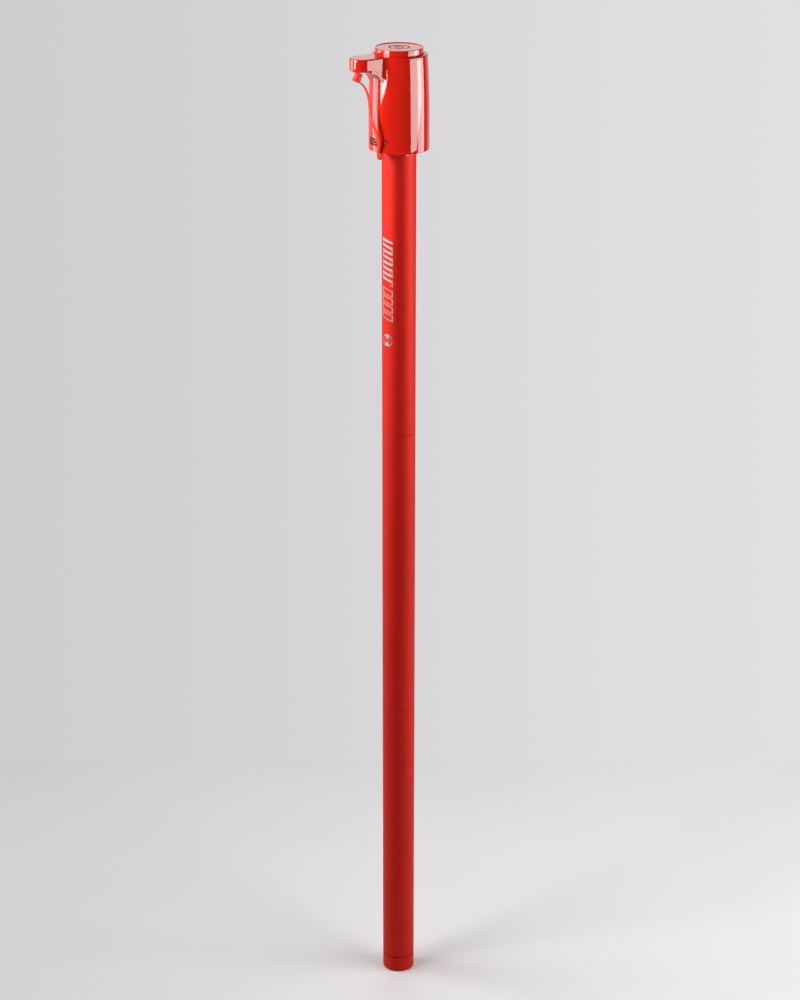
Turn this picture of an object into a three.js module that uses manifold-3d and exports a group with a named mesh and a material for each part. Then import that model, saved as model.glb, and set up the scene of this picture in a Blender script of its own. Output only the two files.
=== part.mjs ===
// A tall drink dispenser stick: a slim tube reservoir in three screwed sections, closed below by a base cap
// and above by a press-button pump head with a spout, a nozzle and a tethered stopper.
// Millimetres, +Z up. The origin is the centre of the base cap's flat underside, and the spout points to -Y.
import * as THREE from "three";
import { mergeVertices } from "three/addons/utils/BufferGeometryUtils.js";
import Module from "manifold-3d";

const wasm = await Module();
wasm.setup();

// ---------------------------------------------------------------- driving dimensions

// Heights above the floor
const BASE_CAP_HEIGHT = 21;
const LOWER_SEAM = 362;
const UPPER_SEAM = 709;
const TUBE_TOP = 1053;
const SHELL_BOTTOM = 1037.5;
const RIM = 1141.3;
const BUTTON_TOP = 1148;

// Tube and its screwed joints
const TUBE_RADIUS = 19;
const TUBE_BORE = 17.4;
const SEAM_GAP = 0.3;
const EDGE = 0.4;
const INSERT_RADIUS = 17.15;
const SOCKET_BORE = 15.6;
const SOCKET_LENGTH = 30;
const SPIGOT_RADIUS = 15.2;
const SPIGOT_BORE = 13.2;
const SPIGOT_LENGTH = 24;
const O_RING_GROOVE_DEPTH = 1.5;
const O_RING_GROOVE_WIDTH = 2.6;

// Neck at the top of the tube
const NECK_RADIUS = 16.9;
const NECK_BORE = 14.6;
const NECK_TOP = 1068;
const GASKET_THICKNESS = 1.5;

// Head shell
const SHELL_RADIUS = 33.3;
const SHELL_TAPER = 2.5;
const SHELL_TAPER_POWER = 3.2;
const SHELL_WALL = 2.2;
const RIM_FILLET = 1.6;
const LIP_BORE = 26.9;
const LIP_THICKNESS = 3.7;
const GUIDE_BORE = 28.7;
const GUIDE_BOTTOM = 1116;

// Spout, measured forwards from the tube's axis
const SPOUT_HALF_WIDTH = 14;
const SPOUT_NOSE_CENTRE = 47.2;
const SPOUT_WALL = 1.8;
const SPOUT_UNDERSIDE = 1127.3;
const COVER_FRONT = 44.5;
const SPOUT_EDGE = 1.5;
const SPOUT_CAVITY_BACK = 31.6;
const SPOUT_FLANK_BOTTOM = 1117.4;

// Nozzle and stopper: the axis leaves the spout's underside and leans forwards
const NOZZLE_EXIT = 50.5;
const NOZZLE_LEAN = THREE.MathUtils.degToRad(24);
const NOZZLE_RADIUS = 3.2;
const NOZZLE_BORE = 2.2;
const NOZZLE_LENGTH = 9.6;
const NOZZLE_INLET = 6.6;
const NOZZLE_INLET_BACK = 43.4;
const STOPPER_RADIUS = 4.7;
const STOPPER_BORE = 3.45;
const STOPPER_START = 2.5;
const STOPPER_END = 12.3;
const STOPPER_CAP = 1.8;

// Push button
const BUTTON_RADIUS = 26.4;
const BUTTON_WALL = 2;
const BUTTON_DISH = 0.7;
const BUTTON_RIM_WIDTH = 1.6;
const BUTTON_FLANGE_RADIUS = 28.1;
const BUTTON_FLANGE_TOP = 1137.2;
const BUTTON_FLANGE_HEIGHT = 2.6;
const BADGE_RADIUS = 11.4;
const BADGE_RECESS = 0.9;
const PLUNGER_RADIUS = 10;
const PLUNGER_BORE = 8;
const HOSE_NOTCH_HALF_WIDTH = 4.2;
const HOSE_NOTCH_DEPTH = 25.6;

// Pump: chassis, bellows and spring
const SKIRT_RADIUS = 21.5;
const SKIRT_BORE = 17.5;
const SKIRT_BOTTOM = 1056;
const ROOF_BOTTOM = 1070;
const ROOF_TOP = 1072.5;
const CUP_RADIUS = 22.5;
const CUP_BORE = 20.5;
const CUP_TOP = 1084;
const FLANGE_RADIUS = 29.5;
const FLANGE_THICKNESS = 2.5;
const SEAT_TOP = 1086.2;
const BELLOWS_TOP = 1130;
const BELLOWS_RADIUS = 22;
const BELLOWS_ROOT = 18.4;
const BELLOWS_WALL = 0.9;
const BELLOWS_FOLDS = 5;
const PLATE_TOP = 1132.2;
const SPRING_RADIUS = 13;
const SPRING_WIRE = 0.8;
const SPRING_TURNS = 6;
const FIXING_RADIUS = 26.2;
const FIXING_ANGLES = [60, 180, 300];
const SCREW_SHANK = 1.4;
const SCREW_HEAD = 2.8;

// Liquid path
const RISER_FORWARD = 8;
const DIP_TUBE_RADIUS = 3.5;
const DIP_TUBE_BORE = 2.5;
const DIP_TUBE_BOTTOM = 24;
const ELBOW_RADIUS = 3.7;
const ELBOW_BOTTOM = 1066;
const ELBOW_HEIGHT = 1078;
const ELBOW_END = 15.5;
const HOSE_RADIUS = 2.6;
const HOSE_BORE = 1.7;

// Base ring under the shell, and the strap that ties the stopper to it
const RING_BOTTOM = 1040.6;
const RING_THICKNESS = 2;
const RING_RADIUS = 30.8;
const RING_LIP_RADIUS = 20;
const RING_LIP_BORE = 19.25;
const RING_LIP_BOTTOM = 1033;
const STRAP_WIDTH = 3.8;
const STRAP_THICKNESS = 1.2;
const STRAP_SLOT_ANGLE = THREE.MathUtils.degToRad(15.4);
const STRAP_SLOT_INNER = 28.9;

const GAP = 0.3;
const ROUND = 40;
const FINE_ROUND = 24;
const SMALL_ROUND = 16;

// ---------------------------------------------------------------- geometry helpers

/** A closed three.js geometry as a manifold-3d solid. */
function solid(geometry) {
  const bare = geometry.index ? geometry.toNonIndexed() : geometry.clone();
  bare.deleteAttribute("normal");
  bare.deleteAttribute("uv");
  const merged = mergeVertices(bare, 1e-4);
  return new wasm.Manifold(
    new wasm.Mesh({
      numProp: 3,
      vertProperties: merged.attributes.position.array,
      triVerts: new Uint32Array(merged.index.array),
    }),
  );
}

/** A manifold-3d solid as a three.js geometry. */
function geometryOf(body) {
  const mesh = body.getMesh();
  return new THREE.BufferGeometry()
    .setAttribute("position", new THREE.BufferAttribute(mesh.vertProperties, 3))
    .setIndex(new THREE.BufferAttribute(mesh.triVerts, 1));
}

/** Revolves [radius, height] points about the Z axis. A profile that leaves the axis closes on itself. */
function turned(profile, segments = ROUND) {
  const closed = profile[0][0] > 0 ? [...profile, profile[0]] : profile;
  const area = closed.reduce((sum, [r, z], i) => {
    const [nextR, nextZ] = closed[(i + 1) % closed.length];
    return sum + r * nextZ - nextR * z;
  }, 0);
  const ordered = area > 0 ? closed : [...closed].reverse();
  const points = ordered.map(([r, z]) => new THREE.Vector2(r, z));
  return new THREE.LatheGeometry(points, segments).rotateX(Math.PI / 2);
}

/** A plain ring between two radii and two heights, with a small chamfer on its outer edges. */
function ring(inner, outer, bottom, top, segments = ROUND, chamfer = 0) {
  const edge = chamfer > 0;
  return turned(
    [
      [inner, bottom],
      [outer - chamfer, bottom],
      ...(edge ? [[outer, bottom + chamfer]] : []),
      ...(edge ? [[outer, top - chamfer]] : []),
      [outer - chamfer, top],
      [inner, top],
    ],
    segments,
  );
}

/** A cylinder on the Z axis, moved to (x, y). */
function post(radius, bottom, top, x = 0, y = 0, segments = SMALL_ROUND) {
  return turned(
    [
      [0, bottom],
      [radius, bottom],
      [radius, top],
      [0, top],
    ],
    segments,
  ).translate(x, y, 0);
}

/** A box given by its lowest and highest corners. */
function block(low, high) {
  const size = high.map((value, i) => value - low[i]);
  const middle = high.map((value, i) => (value + low[i]) / 2);
  return new THREE.BoxGeometry(...size).translate(...middle);
}

/** Extrudes a shape drawn in the spout's middle plane (forwards, up) to both sides of it. */
function sidePrism(shape, halfWidth, curveSegments = 10) {
  const basis = new THREE.Matrix4().makeBasis(
    new THREE.Vector3(0, -1, 0),
    new THREE.Vector3(0, 0, 1),
    new THREE.Vector3(-1, 0, 0),
  );
  const settings = { depth: 2 * halfWidth, bevelEnabled: false, curveSegments };
  return new THREE.ExtrudeGeometry(shape, settings)
    .translate(0, 0, -halfWidth)
    .applyMatrix4(basis);
}

/** The spout's outline from above, a slab with a half-round nose, extruded with rounded edges. */
function planPrism(halfWidth, bottom, top, edge = 0) {
  const outline = new THREE.Shape();
  outline.moveTo(halfWidth, 0);
  outline.lineTo(-halfWidth, 0);
  outline.lineTo(-halfWidth, -SPOUT_NOSE_CENTRE);
  outline.absarc(0, -SPOUT_NOSE_CENTRE, halfWidth, Math.PI, 2 * Math.PI, false);
  return new THREE.ExtrudeGeometry(outline, {
    depth: top - bottom - 2 * edge,
    bevelEnabled: edge > 0,
    bevelThickness: edge,
    bevelSize: edge,
    bevelOffset: -edge,
    bevelSegments: 2,
    curveSegments: 9,
  }).translate(0, 0, bottom + edge);
}

/** A pipe along a curve: a round section with a bore, or a plain rod when the bore is 0. */
function pipe(curve, radius, bore, steps, sides = 12) {
  const section = new THREE.Shape();
  section.absarc(0, 0, radius, 0, 2 * Math.PI, false);
  if (bore > 0) {
    const hole = new THREE.Path();
    hole.absarc(0, 0, bore, 0, 2 * Math.PI, true);
    section.holes.push(hole);
  }
  return new THREE.ExtrudeGeometry(section, { steps, extrudePath: curve, curveSegments: sides / 2 });
}

/** A point in the spout's middle plane, given by how far forwards and how high it is. */
function inSpoutPlane(forward, height, side = 0) {
  return new THREE.Vector3(side, -forward, height);
}

/** Turns a geometry made on the Z axis, mouth at z = 0 and running downwards, onto the nozzle's axis. */
function onNozzleAxis(geometry) {
  return geometry.rotateX(-NOZZLE_LEAN).translate(0, -NOZZLE_EXIT, SPOUT_UNDERSIDE);
}

// ---------------------------------------------------------------- reservoir

function tube(bottom, top) {
  return ring(TUBE_BORE, TUBE_RADIUS, bottom, top, ROUND, EDGE);
}

/** Female threaded insert, bonded into a tube's end. */
function socket(bottom) {
  return ring(SOCKET_BORE, INSERT_RADIUS, bottom, bottom + SOCKET_LENGTH);
}

/** Outer edge of a male spigot that hangs below a seam, with its O-ring groove just under the seam. */
function grooveProfile(seam, direction) {
  const near = seam + direction * 1;
  const far = near + direction * O_RING_GROOVE_WIDTH;
  const floor = SPIGOT_RADIUS - O_RING_GROOVE_DEPTH;
  return [
    [SPIGOT_RADIUS, near],
    [floor, near],
    [floor, far],
    [SPIGOT_RADIUS, far],
  ];
}

/** Male insert: its upper half is bonded into the tube above the seam, and its spigot hangs below. */
function spigot(seam) {
  const bottom = seam - SPIGOT_LENGTH;
  const shoulder = seam + SEAM_GAP;
  return turned([
    [SPIGOT_BORE, bottom],
    [SPIGOT_RADIUS - EDGE, bottom],
    [SPIGOT_RADIUS, bottom + EDGE],
    ...grooveProfile(seam, -1).reverse(),
    [SPIGOT_RADIUS, shoulder],
    [INSERT_RADIUS, shoulder],
    [INSERT_RADIUS, seam + SPIGOT_LENGTH],
    [SPIGOT_BORE, seam + SPIGOT_LENGTH],
  ]);
}

/** O-ring in the groove beside a seam: below it on a hanging spigot, above it on the base cap's. */
function oRing(seam, direction) {
  const middle = seam + direction * (1 + O_RING_GROOVE_WIDTH / 2);
  const inner = SPIGOT_RADIUS - O_RING_GROOVE_DEPTH + 0.1;
  const outer = SOCKET_BORE - 0.1;
  const half = O_RING_GROOVE_WIDTH / 2 - 0.25;
  const corner = 0.5;
  return turned([
    [inner + corner, middle - half],
    [outer - corner, middle - half],
    [outer, middle],
    [outer - corner, middle + half],
    [inner + corner, middle + half],
    [inner, middle],
  ]);
}

/** Solid turned cap with a rounded foot, a male spigot on top and a dish for the last of the drink. */
function baseCap() {
  const fillet = 1.5;
  const top = BASE_CAP_HEIGHT - SEAM_GAP / 2;
  const spigotTop = top + 17;
  const dishWall = 12.8;
  return turned([
    [0, 0],
    [TUBE_RADIUS - fillet, 0],
    [TUBE_RADIUS - fillet * 0.3, fillet * 0.3],
    [TUBE_RADIUS, fillet],
    [TUBE_RADIUS, top - EDGE],
    [TUBE_RADIUS - EDGE, top],
    [SPIGOT_RADIUS, top],
    ...grooveProfile(top, 1),
    [SPIGOT_RADIUS, spigotTop - EDGE],
    [SPIGOT_RADIUS - EDGE, spigotTop],
    [dishWall, spigotTop],
    [dishWall, 14.5],
    [0, 12],
  ]);
}

/** Male neck for the pump head: bonded into the tube's top end, with a flange on the tube's rim. */
function neckInsert() {
  const flangeBottom = TUBE_TOP + 0.1;
  const flangeTop = flangeBottom + 1.5;
  return turned([
    [NECK_BORE, TUBE_TOP - 22],
    [INSERT_RADIUS, TUBE_TOP - 22],
    [INSERT_RADIUS, flangeBottom],
    [TUBE_RADIUS - EDGE, flangeBottom],
    [TUBE_RADIUS - EDGE, flangeTop],
    [NECK_RADIUS, flangeTop],
    [NECK_RADIUS, NECK_TOP - EDGE],
    [NECK_RADIUS - EDGE, NECK_TOP],
    [NECK_BORE, NECK_TOP],
  ]);
}

function neckGasket() {
  const bottom = NECK_TOP + 0.1;
  return ring(NECK_BORE + 0.2, NECK_RADIUS + 0.2, bottom, bottom + GASKET_THICKNESS);
}

// ---------------------------------------------------------------- pump head: shell and spout

/** The shell's outer radius, which draws in towards the rim. */
function shellRadius(height, offset = 0) {
  const share = (height - SHELL_BOTTOM) / (RIM - SHELL_BOTTOM);
  return SHELL_RADIUS - SHELL_TAPER * share ** SHELL_TAPER_POWER + offset;
}

/** Outer profile of the shell from its bottom edge up to the start of the rim's fillet. */
function shellSide(offset = 0, top = RIM - RIM_FILLET, steps = 8) {
  return Array.from({ length: steps + 1 }, (_, i) => {
    const height = SHELL_BOTTOM + ((top - SHELL_BOTTOM) * i) / steps;
    return [shellRadius(height, offset), height];
  });
}

function shellOuterBody(offset = 0) {
  const rimRadius = shellRadius(RIM - RIM_FILLET, offset);
  return solid(
    turned([
      [0, SHELL_BOTTOM],
      ...shellSide(offset),
      [rimRadius - RIM_FILLET * 0.3, RIM - RIM_FILLET * 0.3],
      [rimRadius - RIM_FILLET, RIM],
      [0, RIM],
    ]),
  );
}

/** Everything that is hollow inside the round body, with the lip's bore through the top. */
function shellCavity() {
  return solid(
    turned([
      [0, SHELL_BOTTOM - 1],
      [SHELL_RADIUS - SHELL_WALL, SHELL_BOTTOM - 1],
      ...shellSide(-SHELL_WALL, GUIDE_BOTTOM - 4, 5),
      [GUIDE_BORE, GUIDE_BOTTOM],
      [GUIDE_BORE, RIM - LIP_THICKNESS],
      [LIP_BORE, RIM - LIP_THICKNESS],
      [LIP_BORE, RIM + 1],
      [0, RIM + 1],
    ]),
  );
}

/** The region below a curved line that runs back from the nose to the body, seen from the side. */
function belowCurve(front, controls, back) {
  const side = new THREE.Shape();
  side.moveTo(...front);
  side.bezierCurveTo(...controls, ...back);
  side.lineTo(back[0], 1095);
  side.lineTo(front[0], 1095);
  return side;
}

/** Where the spout's flanks end below. The drop leaves room for the seam above the under cover. */
function belowFlank(drop = 0) {
  const front = [COVER_FRONT - drop, SPOUT_UNDERSIDE + SPOUT_WALL - drop];
  return belowCurve(front, [40, 1128.8 - drop, 35, 1126.5 - drop], [28, SPOUT_FLANK_BOTTOM - drop]);
}

/** The spout as a solid without its under cover. */
function spoutOuter() {
  const nose = solid(planPrism(SPOUT_HALF_WIDTH, SPOUT_UNDERSIDE, RIM, SPOUT_EDGE));
  const flanks = block(
    [-SPOUT_HALF_WIDTH, -COVER_FRONT, SPOUT_FLANK_BOTTOM],
    [SPOUT_HALF_WIDTH, 0, SPOUT_UNDERSIDE + 4],
  );
  return nose.add(solid(flanks)).subtract(solid(sidePrism(belowFlank(), SPOUT_HALF_WIDTH + 1)));
}

/** The hollow inside the spout. Behind the nose it is open below, where the under cover closes it. */
function spoutCavity() {
  const side = new THREE.Shape();
  side.moveTo(SPOUT_CAVITY_BACK, RIM - SPOUT_WALL);
  side.lineTo(SPOUT_NOSE_CENTRE + SPOUT_HALF_WIDTH, RIM - SPOUT_WALL);
  side.lineTo(SPOUT_NOSE_CENTRE + SPOUT_HALF_WIDTH, SPOUT_UNDERSIDE + SPOUT_WALL);
  side.lineTo(COVER_FRONT, SPOUT_UNDERSIDE + SPOUT_WALL);
  side.lineTo(COVER_FRONT, 1121);
  side.lineTo(SPOUT_CAVITY_BACK + 1.2, 1121);
  side.lineTo(SPOUT_CAVITY_BACK, 1123);
  return solid(planPrism(SPOUT_HALF_WIDTH - SPOUT_WALL, 1110, RIM)).intersect(
    solid(sidePrism(side, SPOUT_HALF_WIDTH)),
  );
}

/** The room that the hose needs along its whole length. */
function hoseTunnel() {
  return solid(pipe(hoseRoute(), HOSE_RADIUS + GAP, 0, 30, 16));
}

/** Where the hose leaves the body for the spout: a groove in the wall that opens into the spout. */
function hoseChannel() {
  return solid(block([-3.4, -31, 1105], [3.4, -26, 1130]))
    .add(solid(block([-3.4, -SPOUT_CAVITY_BACK - 0.5, 1124], [3.4, -26, RIM - LIP_THICKNESS])))
    .add(hoseTunnel());
}

/** Straight down the nozzle's axis, wide enough for the nozzle with a small gap. */
function nozzleHole() {
  return solid(onNozzleAxis(post(NOZZLE_RADIUS + GAP, -6, 4, 0, 0, SMALL_ROUND)));
}

/** One of the round fixings, placed at an angle from the front. */
function fixingPoint(degrees) {
  const angle = THREE.MathUtils.degToRad(degrees);
  return [FIXING_RADIUS * Math.sin(angle), -FIXING_RADIUS * Math.cos(angle)];
}

/** Screw posts inside the shell, joined to its wall, with pilot holes. */
function screwPosts() {
  const bottom = ROOF_TOP + FLANGE_THICKNESS + GAP;
  return FIXING_ANGLES.map((degrees) => {
    const [x, y] = fixingPoint(degrees);
    const angle = THREE.MathUtils.degToRad(degrees);
    const web = block([-1.2, -31.8, bottom], [1.2, -FIXING_RADIUS - 1.8, bottom + 14]).rotateZ(angle);
    return solid(post(3, bottom, bottom + 14, x, y))
      .add(solid(web))
      .subtract(solid(post(SCREW_SHANK + 0.15, bottom - 1, bottom + 12, x, y, 12)));
  });
}

function headShell() {
  let shell = shellOuterBody().add(spoutOuter()).subtract(shellCavity());
  shell = shell.subtract(spoutCavity()).subtract(hoseChannel()).subtract(nozzleHole());
  return geometryOf(screwPosts().reduce((body, fixing) => body.add(fixing), shell));
}

/** Curved strip that closes the spout from below, between the nose and the body. */
function spoutCover() {
  const under = belowCurve([COVER_FRONT + 1, SPOUT_UNDERSIDE - 1], [37.5, 1125, 31.5, 1119], [28.5, 1110]);
  const strip = solid(sidePrism(belowFlank(GAP), SPOUT_HALF_WIDTH - 0.05)).subtract(
    solid(sidePrism(under, SPOUT_HALF_WIDTH + 1)),
  );
  const above = block([-20, -COVER_FRONT, 1111.5], [20, -20, 1130]);
  return geometryOf(strip.intersect(solid(above)).subtract(shellOuterBody(GAP)).subtract(hoseTunnel()));
}

// ---------------------------------------------------------------- pump head: nozzle, stopper and strap

/** Outlet tip: an elbow inside the spout's nose, with its outlet pipe standing out below. */
function nozzle() {
  const height = SPOUT_UNDERSIDE + NOZZLE_INLET * Math.cos(NOZZLE_LEAN);
  const forward = NOZZLE_EXIT - NOZZLE_INLET * Math.sin(NOZZLE_LEAN);
  const corner = inSpoutPlane(forward, height);
  const inlet = new THREE.LineCurve3(corner, inSpoutPlane(NOZZLE_INLET_BACK, height));
  const inletBore = new THREE.LineCurve3(corner, inSpoutPlane(NOZZLE_INLET_BACK - 1, height));
  const outlet = onNozzleAxis(post(NOZZLE_RADIUS, -NOZZLE_LENGTH, NOZZLE_INLET));
  const outletBore = onNozzleAxis(post(NOZZLE_BORE, -NOZZLE_LENGTH - 1, NOZZLE_INLET));
  const ball = new THREE.SphereGeometry(NOZZLE_RADIUS, SMALL_ROUND, 10);
  return geometryOf(
    solid(outlet)
      .add(solid(ball.translate(0, -forward, height)))
      .add(solid(pipe(inlet, HOSE_RADIUS, 0, 1, SMALL_ROUND)))
      .subtract(solid(outletBore))
      .subtract(solid(pipe(inletBore, HOSE_BORE, 0, 1))),
  );
}

/** Soft cup that closes the nozzle. */
function stopper() {
  return onNozzleAxis(
    turned(
      [
        [0, -STOPPER_END],
        [STOPPER_RADIUS - 0.6, -STOPPER_END],
        [STOPPER_RADIUS, -STOPPER_END + 0.6],
        [STOPPER_RADIUS, -STOPPER_START - 0.4],
        [STOPPER_RADIUS - 0.4, -STOPPER_START],
        [STOPPER_BORE, -STOPPER_START],
        [STOPPER_BORE, -STOPPER_END + STOPPER_CAP],
        [0, -STOPPER_END + STOPPER_CAP],
      ],
      FINE_ROUND,
    ),
  );
}

// The strap's route: out of the stopper's closed end towards the body, down the body's front with a drift
// to +X, then in a tight bend under the shell's edge and up through the base ring.
// Each row is forwards, height, sideways.
const STRAP_ROUTE = [
  [50.8, 1114.6, 0],
  [48.4, 1113.2, 0.2],
  [45.4, 1109.7, 0.9],
  [43.4, 1104.9, 2.0],
  [42.0, 1100.0, 2.9],
  [41.2, 1095.0, 3.6],
  [41.0, 1089.0, 4.3],
  [40.8, 1083.0, 5.2],
  [40.2, 1076.5, 6.7],
  [39.4, 1070.5, 8.6],
  [38.2, 1064.0, 11.0],
  [36.9, 1057.5, 12.6],
  [35.8, 1051.0, 13.0],
  [34.9, 1045.0, 12.2],
  [34.2, 1039.5, 10.8],
  [33.4, 1034.6, 9.6],
  [31.9, 1031.1, 8.8],
  [30.4, 1030.7, 8.4],
  [29.3, 1033.0, 8.1],
  [28.95, 1037.0, 8.0],
  [28.9, 1042.6, 7.95],
];

/** Gives a route frames that keep a flat strap's broad side turned towards the Z axis. */
function facingAxis(route) {
  route.computeFrenetFrames = (segments) => {
    const frames = { tangents: [], normals: [], binormals: [] };
    for (let i = 0; i <= segments; i += 1) {
      const point = route.getPointAt(i / segments);
      const tangent = route.getTangentAt(i / segments);
      const across = new THREE.Vector3(-point.y, point.x, 0);
      const normal = across.addScaledVector(tangent, -across.dot(tangent)).normalize();
      frames.tangents.push(tangent);
      frames.normals.push(normal);
      frames.binormals.push(new THREE.Vector3().crossVectors(tangent, normal));
    }
    return frames;
  };
  return route;
}

/** Flat soft strap between the stopper and the base ring. */
function stopperStrap() {
  const route = new THREE.CatmullRomCurve3(
    STRAP_ROUTE.map(([forward, height, side]) => inSpoutPlane(forward, height, side)),
  );
  const half = [STRAP_WIDTH / 2, STRAP_THICKNESS / 2];
  const section = new THREE.Shape([
    new THREE.Vector2(-half[0], -half[1]),
    new THREE.Vector2(half[0], -half[1]),
    new THREE.Vector2(half[0], half[1]),
    new THREE.Vector2(-half[0], half[1]),
  ]);
  return new THREE.ExtrudeGeometry(section, { steps: 60, extrudePath: facingAxis(route) });
}

/** Bead on the strap's end. It is wider than the slot, so it holds the strap in the base ring. */
function strapAnchor() {
  const bottom = RING_BOTTOM + RING_THICKNESS + GAP;
  return block([-3.6, -30.3, bottom], [3.6, -27.7, bottom + 3]).rotateZ(STRAP_SLOT_ANGLE);
}

/** Ring that closes the shell from below, with a short lip round the tube and a slot for the strap. */
function baseRing() {
  const top = RING_BOTTOM + RING_THICKNESS;
  const body = solid(
    turned([
      [RING_LIP_BORE, RING_LIP_BOTTOM],
      [RING_LIP_RADIUS, RING_LIP_BOTTOM],
      [RING_LIP_RADIUS, RING_BOTTOM],
      [RING_RADIUS, RING_BOTTOM],
      [RING_RADIUS, top],
      [RING_LIP_BORE, top],
    ]),
  );
  const slotHalf = STRAP_WIDTH / 2 + 0.5;
  const slot = block([-slotHalf, -RING_RADIUS - 1, RING_BOTTOM - 1], [slotHalf, -STRAP_SLOT_INNER, top + 1]);
  return geometryOf(body.subtract(solid(slot.rotateZ(STRAP_SLOT_ANGLE))));
}

// ---------------------------------------------------------------- pump head: button

function pushButton() {
  const fillet = 0.8;
  const dish = BUTTON_TOP - BUTTON_DISH;
  const underside = dish - BUTTON_WALL;
  const flangeBottom = BUTTON_FLANGE_TOP - BUTTON_FLANGE_HEIGHT;
  const skirtBore = BUTTON_RADIUS - BUTTON_WALL;
  const body = solid(
    turned([
      [0, dish - BADGE_RECESS],
      [BADGE_RADIUS + 0.2, dish - BADGE_RECESS],
      [BADGE_RADIUS + 0.2, dish],
      [BUTTON_RADIUS - BUTTON_RIM_WIDTH, dish],
      [BUTTON_RADIUS - BUTTON_RIM_WIDTH + 0.6, BUTTON_TOP],
      [BUTTON_RADIUS - fillet, BUTTON_TOP],
      [BUTTON_RADIUS, BUTTON_TOP - fillet],
      [BUTTON_RADIUS, BUTTON_FLANGE_TOP],
      [BUTTON_FLANGE_RADIUS, BUTTON_FLANGE_TOP],
      [BUTTON_FLANGE_RADIUS, flangeBottom],
      [skirtBore, flangeBottom],
      [skirtBore, underside],
      [PLUNGER_RADIUS, underside],
      [PLUNGER_RADIUS, PLATE_TOP + 0.1],
      [PLUNGER_BORE, PLATE_TOP + 0.1],
      [PLUNGER_BORE, underside],
      [0, underside],
    ]),
  );
  const hoseNotch = block(
    [-HOSE_NOTCH_HALF_WIDTH, -BUTTON_FLANGE_RADIUS - 1, flangeBottom - 1],
    [HOSE_NOTCH_HALF_WIDTH, -HOSE_NOTCH_DEPTH, BUTTON_FLANGE_TOP],
  );
  return geometryOf(body.subtract(solid(hoseNotch)));
}

/** Plain round inlay with two raised circles, set in the button's top. */
function buttonBadge() {
  const bottom = BUTTON_TOP - BUTTON_DISH - BADGE_RECESS + 0.1;
  const low = bottom + 0.6;
  const high = low + 0.25;
  return turned([
    [0, bottom],
    [BADGE_RADIUS, bottom],
    [BADGE_RADIUS, high],
    [BADGE_RADIUS - 1.3, high],
    [BADGE_RADIUS - 1.3, low],
    [5.2, low],
    [5.2, high],
    [4.2, high],
    [4.2, low],
    [0, low],
  ]);
}

// ---------------------------------------------------------------- pump head: pump

/** Moulded chassis: a socket over the neck, a screwed flange and the cup under the bellows. */
function pumpBase() {
  const flangeTop = ROOF_TOP + FLANGE_THICKNESS;
  const body = solid(
    turned([
      [SKIRT_BORE, SKIRT_BOTTOM],
      [SKIRT_RADIUS, SKIRT_BOTTOM],
      [SKIRT_RADIUS, ROOF_TOP],
      [FLANGE_RADIUS, ROOF_TOP],
      [FLANGE_RADIUS, flangeTop],
      [CUP_RADIUS, flangeTop],
      [CUP_RADIUS, CUP_TOP],
      [CUP_BORE, CUP_TOP],
      [CUP_BORE, ROOF_TOP],
      [0, ROOF_TOP],
      [0, ROOF_BOTTOM],
      [SKIRT_BORE, ROOF_BOTTOM],
    ]),
  );
  const riserHole = post(ELBOW_RADIUS + GAP, ROOF_BOTTOM - 1, ROOF_TOP + 1, 0, -RISER_FORWARD);
  const airHole = post(1.6, ROOF_BOTTOM - 1, ROOF_TOP + 1, 0, RISER_FORWARD);
  const screwHoles = FIXING_ANGLES.map((degrees) =>
    post(SCREW_SHANK + GAP, ROOF_TOP - 1, flangeTop + 1, ...fixingPoint(degrees), 12),
  );
  const holes = [riserHole, airHole, ...screwHoles];
  return geometryOf(holes.reduce((left, hole) => left.subtract(solid(hole)), body.subtract(hoseTunnel())));
}

/** Pan-head screw that holds the chassis to one of the shell's posts. */
function screw(degrees) {
  const headTop = ROOF_TOP - 0.1;
  return turned(
    [
      [0, headTop - 2],
      [SCREW_HEAD - 0.5, headTop - 2],
      [SCREW_HEAD, headTop - 1.4],
      [SCREW_HEAD, headTop],
      [SCREW_SHANK, headTop],
      [SCREW_SHANK, headTop + 12],
      [0, headTop + 13],
    ],
    12,
  ).translate(...fixingPoint(degrees), 0);
}

/** Plate on the chassis cup that the bellows stands on, with an air hole in its middle. */
function bellowsSeat() {
  const bottom = CUP_TOP + 0.2;
  return turned([
    [4, bottom],
    [CUP_RADIUS, bottom],
    [CUP_RADIUS, SEAT_TOP],
    [4, SEAT_TOP],
  ]);
}

/** Concertina wall, open at both ends. */
function bellows() {
  const bottom = SEAT_TOP + 0.2;
  const fold = (BELLOWS_TOP - bottom) / (2 * BELLOWS_FOLDS);
  const outer = Array.from({ length: 2 * BELLOWS_FOLDS + 1 }, (_, i) => [
    i % 2 ? BELLOWS_ROOT : BELLOWS_RADIUS,
    bottom + i * fold,
  ]);
  const inner = outer.map(([radius, height]) => [radius - BELLOWS_WALL, height]).reverse();
  return turned([...outer, ...inner], 28);
}

/** Plate under the button that closes the bellows from above, with the vent's seat in its middle. */
function bellowsPlate() {
  return turned([
    [2.6, BELLOWS_TOP + 0.2],
    [CUP_RADIUS, BELLOWS_TOP + 0.2],
    [CUP_RADIUS, PLATE_TOP],
    [2.6, PLATE_TOP],
  ]);
}

/** Soft umbrella valve in the plate: it lets air in when the button comes back up. */
function ventValve() {
  const underPlate = BELLOWS_TOP;
  return turned(
    [
      [0, underPlate - 1.4],
      [6, underPlate - 0.9],
      [6, underPlate - 0.1],
      [2.2, underPlate - 0.1],
      [2.2, PLATE_TOP + 0.2],
      [3.4, PLATE_TOP + 0.2],
      [3, PLATE_TOP + 1.6],
      [0, PLATE_TOP + 1.6],
    ],
    SMALL_ROUND,
  );
}

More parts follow.
